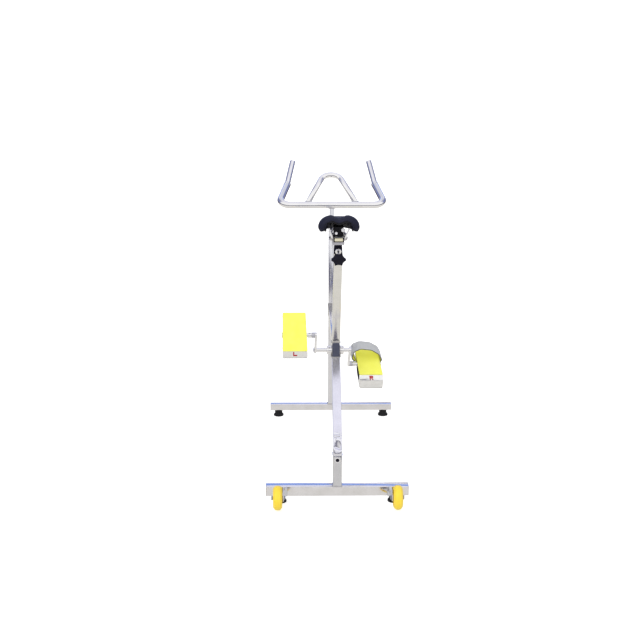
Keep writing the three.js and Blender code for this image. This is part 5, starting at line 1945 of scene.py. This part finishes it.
elbows = {sign: bar_point(sign, bar.elbow_side, bar.elbow_forward, bar.elbow_rise) for sign in (-1, 1)}
tips = {sign: bar_point(sign, bar.tip_side, bar.tip_forward, bar.tip_rise) for sign in (-1, 1)}
print("right elbow, mm:", [round(v) for v in elbows[1]], "tip:", [round(v) for v in tips[1]])

# %% Bar and horns
main_path = bent_path(
    [elbows[-1], bar_point(-1, bar.side), bar_point(1, bar.side), elbows[1]], bar.bend, facets.wide_bend
)
parts = [swept(main_path, circle(bar.radius, facets.bar))]
ring_end = bar.ring_length / 2
for sign in (-1, 1):
    arm = (elbows[sign] - bar_point(sign, bar.side)).normalized()
    horn_way = (tips[sign] - elbows[sign]).normalized()
    parts.append(swept([elbows[sign] - horn_way * bar.sink, tips[sign]], circle(bar.horn, facets.bar)))
    parts.append(rod(bar.radius + bar.ring_out, -ring_end, ring_end, elbows[sign], arm, facets.bar))
add_piece(
    "bent_handlebar", together(*parts), stainless_round, "handlebar", ["handlebar_bar"],
    edges.cap,
)
tell("bar")

# %% Hoop
hoop_corners = [
    (-hoop.half_base, 0), (-hoop.half_top, hoop.reach), (hoop.half_top, hoop.reach), (hoop.half_base, 0)
]
hoop_path = bent_path(
    [
        bar_place + Vector((x, along * math.cos(hoop.tilt), along * math.sin(hoop.tilt)))
        for x, along in hoop_corners
    ],
    hoop.bend, facets.wide_bend,
)
add_piece(
    "bent_hoop", swept(hoop_path, circle(hoop.radius, facets.hoop)), stainless_round, "handlebar",
    ["handlebar_hoop"],
)
tell("hoop")

# %% [markdown]
# Where the hoop and the stem meet the bar, the beads lie on the bar's round wall: each point of the joint's
# outline is pushed down or out until it touches the bar. The distance is the nearer root of a quadratic,
# which is exact, where a shrinkwrap would follow the bar's facets.

# %% Beads on the handlebar
def on_bar_wall(point, way):
    offset = point - bar_place
    offset.x = 0
    along = way - ACROSS * way.x
    a = along.length_squared
    b = 2 * offset.dot(along)
    c = offset.length_squared - bar.radius**2
    root = max(b * b - 4 * a * c, 0)
    return point + way * ((-b + math.sqrt(root)) / (2 * a))


for side, sign in SIDES.items():
    foot, knee = (hoop_path[0], hoop_path[1]) if sign < 0 else (hoop_path[-1], hoop_path[-2])
    way = (knee - foot).normalized()
    first, second = square_to(way)
    start = bar_point(sign, hoop.half_base)
    ring = [on_bar_wall(start + first * x + second * y, way) for x, y in circle(hoop.radius)]
    add_piece(f"weld_hoop_{side}", bead_along(ring), weld_metal, "handlebar")
stem_ring = [
    on_bar_wall(bar_place + ACROSS * point.x + FORWARD * point.y, -UP)
    for point in box_outline(tube.stem, tube.stem, tube.corner)
]
add_piece("weld_stem", bead_along(stem_ring), weld_metal, "handlebar")
tell("handlebar beads")

# %% [markdown]
# The studio is a pale floor that runs out of sight and a soft white sky. The camera sees both as white.
# Polished tubes show what stands round them, so the rays that metal reflects meet a floor that darkens
# outwards in rings. Light Path tells those rays from the camera's, so the object's light stays plain.

# %% Ramps, and the rays that metal reflects
studio = Sizes(
    floor_half=60000, rings=6000, glow=0.6, sky=0.78, turn=0.15, sun_energy=1.1, sun_angle=math.radians(50),
    sun_tilt=math.radians(38), sun_side=math.radians(-24),
)


# Sets the bands of a colour ramp and returns its colour
def banded_by(ramp_node, shares, colours):
    ramp = ramp_node.color_ramp
    while len(ramp.elements) < len(shares):
        ramp.elements.new(1)
    for element, share, colour in zip(ramp.elements, shares, colours):
        element.position = share
        element.color = linear(colour)
    return ramp_node.outputs["Color"]


def shiny_ray(tree, rays):
    return add_node(
        tree, "ShaderNodeMath", {0: rays.outputs["Is Glossy Ray"], 1: rays.outputs["Is Transmission Ray"]},
        operation="MAXIMUM",
    ).outputs[0]


print("floor, m:", 2 * studio.floor_half * MM)

# %% The floor
floor_mesh = bpy.data.meshes.new("floor")
reach = studio.floor_half * MM
floor_mesh.from_pydata(
    [(-reach, -reach, 0), (reach, -reach, 0), (reach, reach, 0), (-reach, reach, 0)], [], [(0, 1, 2, 3)]
)
floor = bpy.data.objects.new("floor", floor_mesh)
scene.collection.objects.link(floor)
floor_paint = bpy.data.materials.new("studio_floor")
floor_paint.use_nodes = True
paint = floor_paint.node_tree
paint.nodes.clear()
rays = add_node(paint, "ShaderNodeLightPath")
matt = add_node(paint, "ShaderNodeBsdfDiffuse", {"Color": linear("#f2f2f2")})
glow = add_node(paint, "ShaderNodeEmission", {"Color": linear("#ffffff"), "Strength": studio.glow})
seen = add_node(paint, "ShaderNodeAddShader", {0: matt.outputs[0], 1: glow.outputs[0]})
spot = add_node(paint, "ShaderNodeTexCoord").outputs["Object"]
away = add_node(paint, "ShaderNodeVectorMath", {0: spot}, operation="LENGTH")
fade = add_node(
    paint, "ShaderNodeMapRange", {"Value": away.outputs["Value"], "From Max": studio.rings * MM}
)
ring_shares = [0, 0.2, 0.56, 0.62, 0.68, 1]
ring_colours = ["#e2e0dc", "#e8e6e1", "#e6e4e0", "#c3c0c4", "#6f6d80", "#5c5b70"]
ring_ramp = add_node(paint, "ShaderNodeValToRGB", {"Fac": fade.outputs["Result"]})
shown = banded_by(ring_ramp, ring_shares, ring_colours)
mirrored = add_node(paint, "ShaderNodeEmission", {"Color": shown, "Strength": 1})
camera_or_light = add_node(
    paint, "ShaderNodeMixShader", {0: rays.outputs["Is Camera Ray"], 1: matt.outputs[0], 2: seen.outputs[0]}
)
final = add_node(
    paint, "ShaderNodeMixShader",
    {0: shiny_ray(paint, rays), 1: camera_or_light.outputs[0], 2: mirrored.outputs[0]},
)
add_node(paint, "ShaderNodeOutputMaterial", {"Surface": final.outputs[0]})
floor_mesh.materials.append(floor_paint)
print("rings of the floor:", len(ring_shares))

# %% [markdown]
# The sky that metal mirrors has a pale lavender ceiling, a blue window band low in front and white walls
# behind. Grey flags in front, left and right, draw dark edges along every round tube. Ramps over the
# direction's height and side draw all of this without an image. Everything else is lit by one even white.

# %% Bands and flags of the mirrored sky
world = bpy.data.worlds.new("studio")
scene.world = world
world.use_nodes = True
sky = world.node_tree
sky.nodes.clear()
rays = add_node(sky, "ShaderNodeLightPath")
direction = add_node(sky, "ShaderNodeTexCoord").outputs["Generated"]
parts = add_node(sky, "ShaderNodeSeparateXYZ", {"Vector": direction})
height = add_node(sky, "ShaderNodeMapRange", {"Value": parts.outputs["Z"], "From Min": -1})
front_shares = [0, 0.53, 0.57, 0.625, 0.645, 0.74, 0.765, 0.83, 0.875, 0.92, 0.945, 1]
front_colours = [
    "#8f8fa6", "#8f8fa6", "#f6f5ff", "#f4f4ff", "#7ea2f0", "#84a4f0", "#eceeff", "#eceef8", "#dde0ee",
    "#d2d6e6", "#eeedf8", "#f8f8fd",
]
back_shares = [0, 0.515, 0.55, 0.88, 0.96, 1]
back_colours = ["#5a5a70", "#5a5a70", "#ffffff", "#ffffff", "#f4f3fc", "#f2f1fa"]
flag_shares = [0, 0.42, 0.6, 0.92, 1]
flag_colours = ["#ffffff", "#ffffff", "#b2b2c0", "#b2b2c0", "#cacad4"]
sideways = add_node(sky, "ShaderNodeMath", {0: parts.outputs["X"]}, operation="ABSOLUTE")
flag_ramp = add_node(sky, "ShaderNodeValToRGB", {"Fac": sideways.outputs[0]})
flags = banded_by(flag_ramp, flag_shares, flag_colours)
front_ramp = add_node(sky, "ShaderNodeValToRGB", {"Fac": height.outputs["Result"]})
front = banded_by(front_ramp, front_shares, front_colours)
back_ramp = add_node(sky, "ShaderNodeValToRGB", {"Fac": height.outputs["Result"]})
behind = banded_by(back_ramp, back_shares, back_colours)
facing = add_node(
    sky, "ShaderNodeMapRange",
    {"Value": parts.outputs["Y"], "From Min": -studio.turn, "From Max": studio.turn},
).outputs["Result"]
around = add_node(
    sky, "ShaderNodeMix", {mixing.share: facing, mixing.low: behind, mixing.high: front}, data_type="RGBA"
).outputs[mixing.result]
flagged = add_node(
    sky, "ShaderNodeMix", {mixing.share: facing, mixing.low: around, mixing.high: flags}, data_type="RGBA",
    blend_type="MULTIPLY",
).outputs[mixing.result]
print("bands in front:", len(front_shares), "behind:", len(back_shares))

# %% The sky that each ray sees
soft = add_node(sky, "ShaderNodeBackground", {"Color": linear("#ffffff"), "Strength": studio.sky})
white = add_node(sky, "ShaderNodeBackground", {"Color": linear("#ffffff"), "Strength": 1})
banded = add_node(sky, "ShaderNodeBackground", {"Color": flagged, "Strength": 1})
for_camera = add_node(
    sky, "ShaderNodeMixShader", {0: rays.outputs["Is Camera Ray"], 1: soft.outputs[0], 2: white.outputs[0]}
)
for_metal = add_node(
    sky, "ShaderNodeMixShader",
    {0: shiny_ray(sky, rays), 1: for_camera.outputs[0], 2: banded.outputs[0]},
)
add_node(sky, "ShaderNodeOutputWorld", {"Surface": for_metal.outputs[0]})
print("strength of the sky's light:", studio.sky)

# %% [markdown]
# One broad soft sun gives the object its form and lays a faint shadow. Metal doesn't mirror it, because a
# bright spot would hide the bands.

# %% The lamp
lamp_data = bpy.data.lights.new("soft_sun", "SUN")
lamp_data.energy = studio.sun_energy
lamp_data.angle = studio.sun_angle
lamp = bpy.data.objects.new("soft_sun", lamp_data)
lamp.visible_glossy = False
lamp.rotation_euler = (studio.sun_tilt, studio.sun_side, 0)
scene.collection.objects.link(lamp)
scene.view_settings.view_transform = "Standard"
print("lamp tilted, degrees:", round(math.degrees(studio.sun_tilt)))
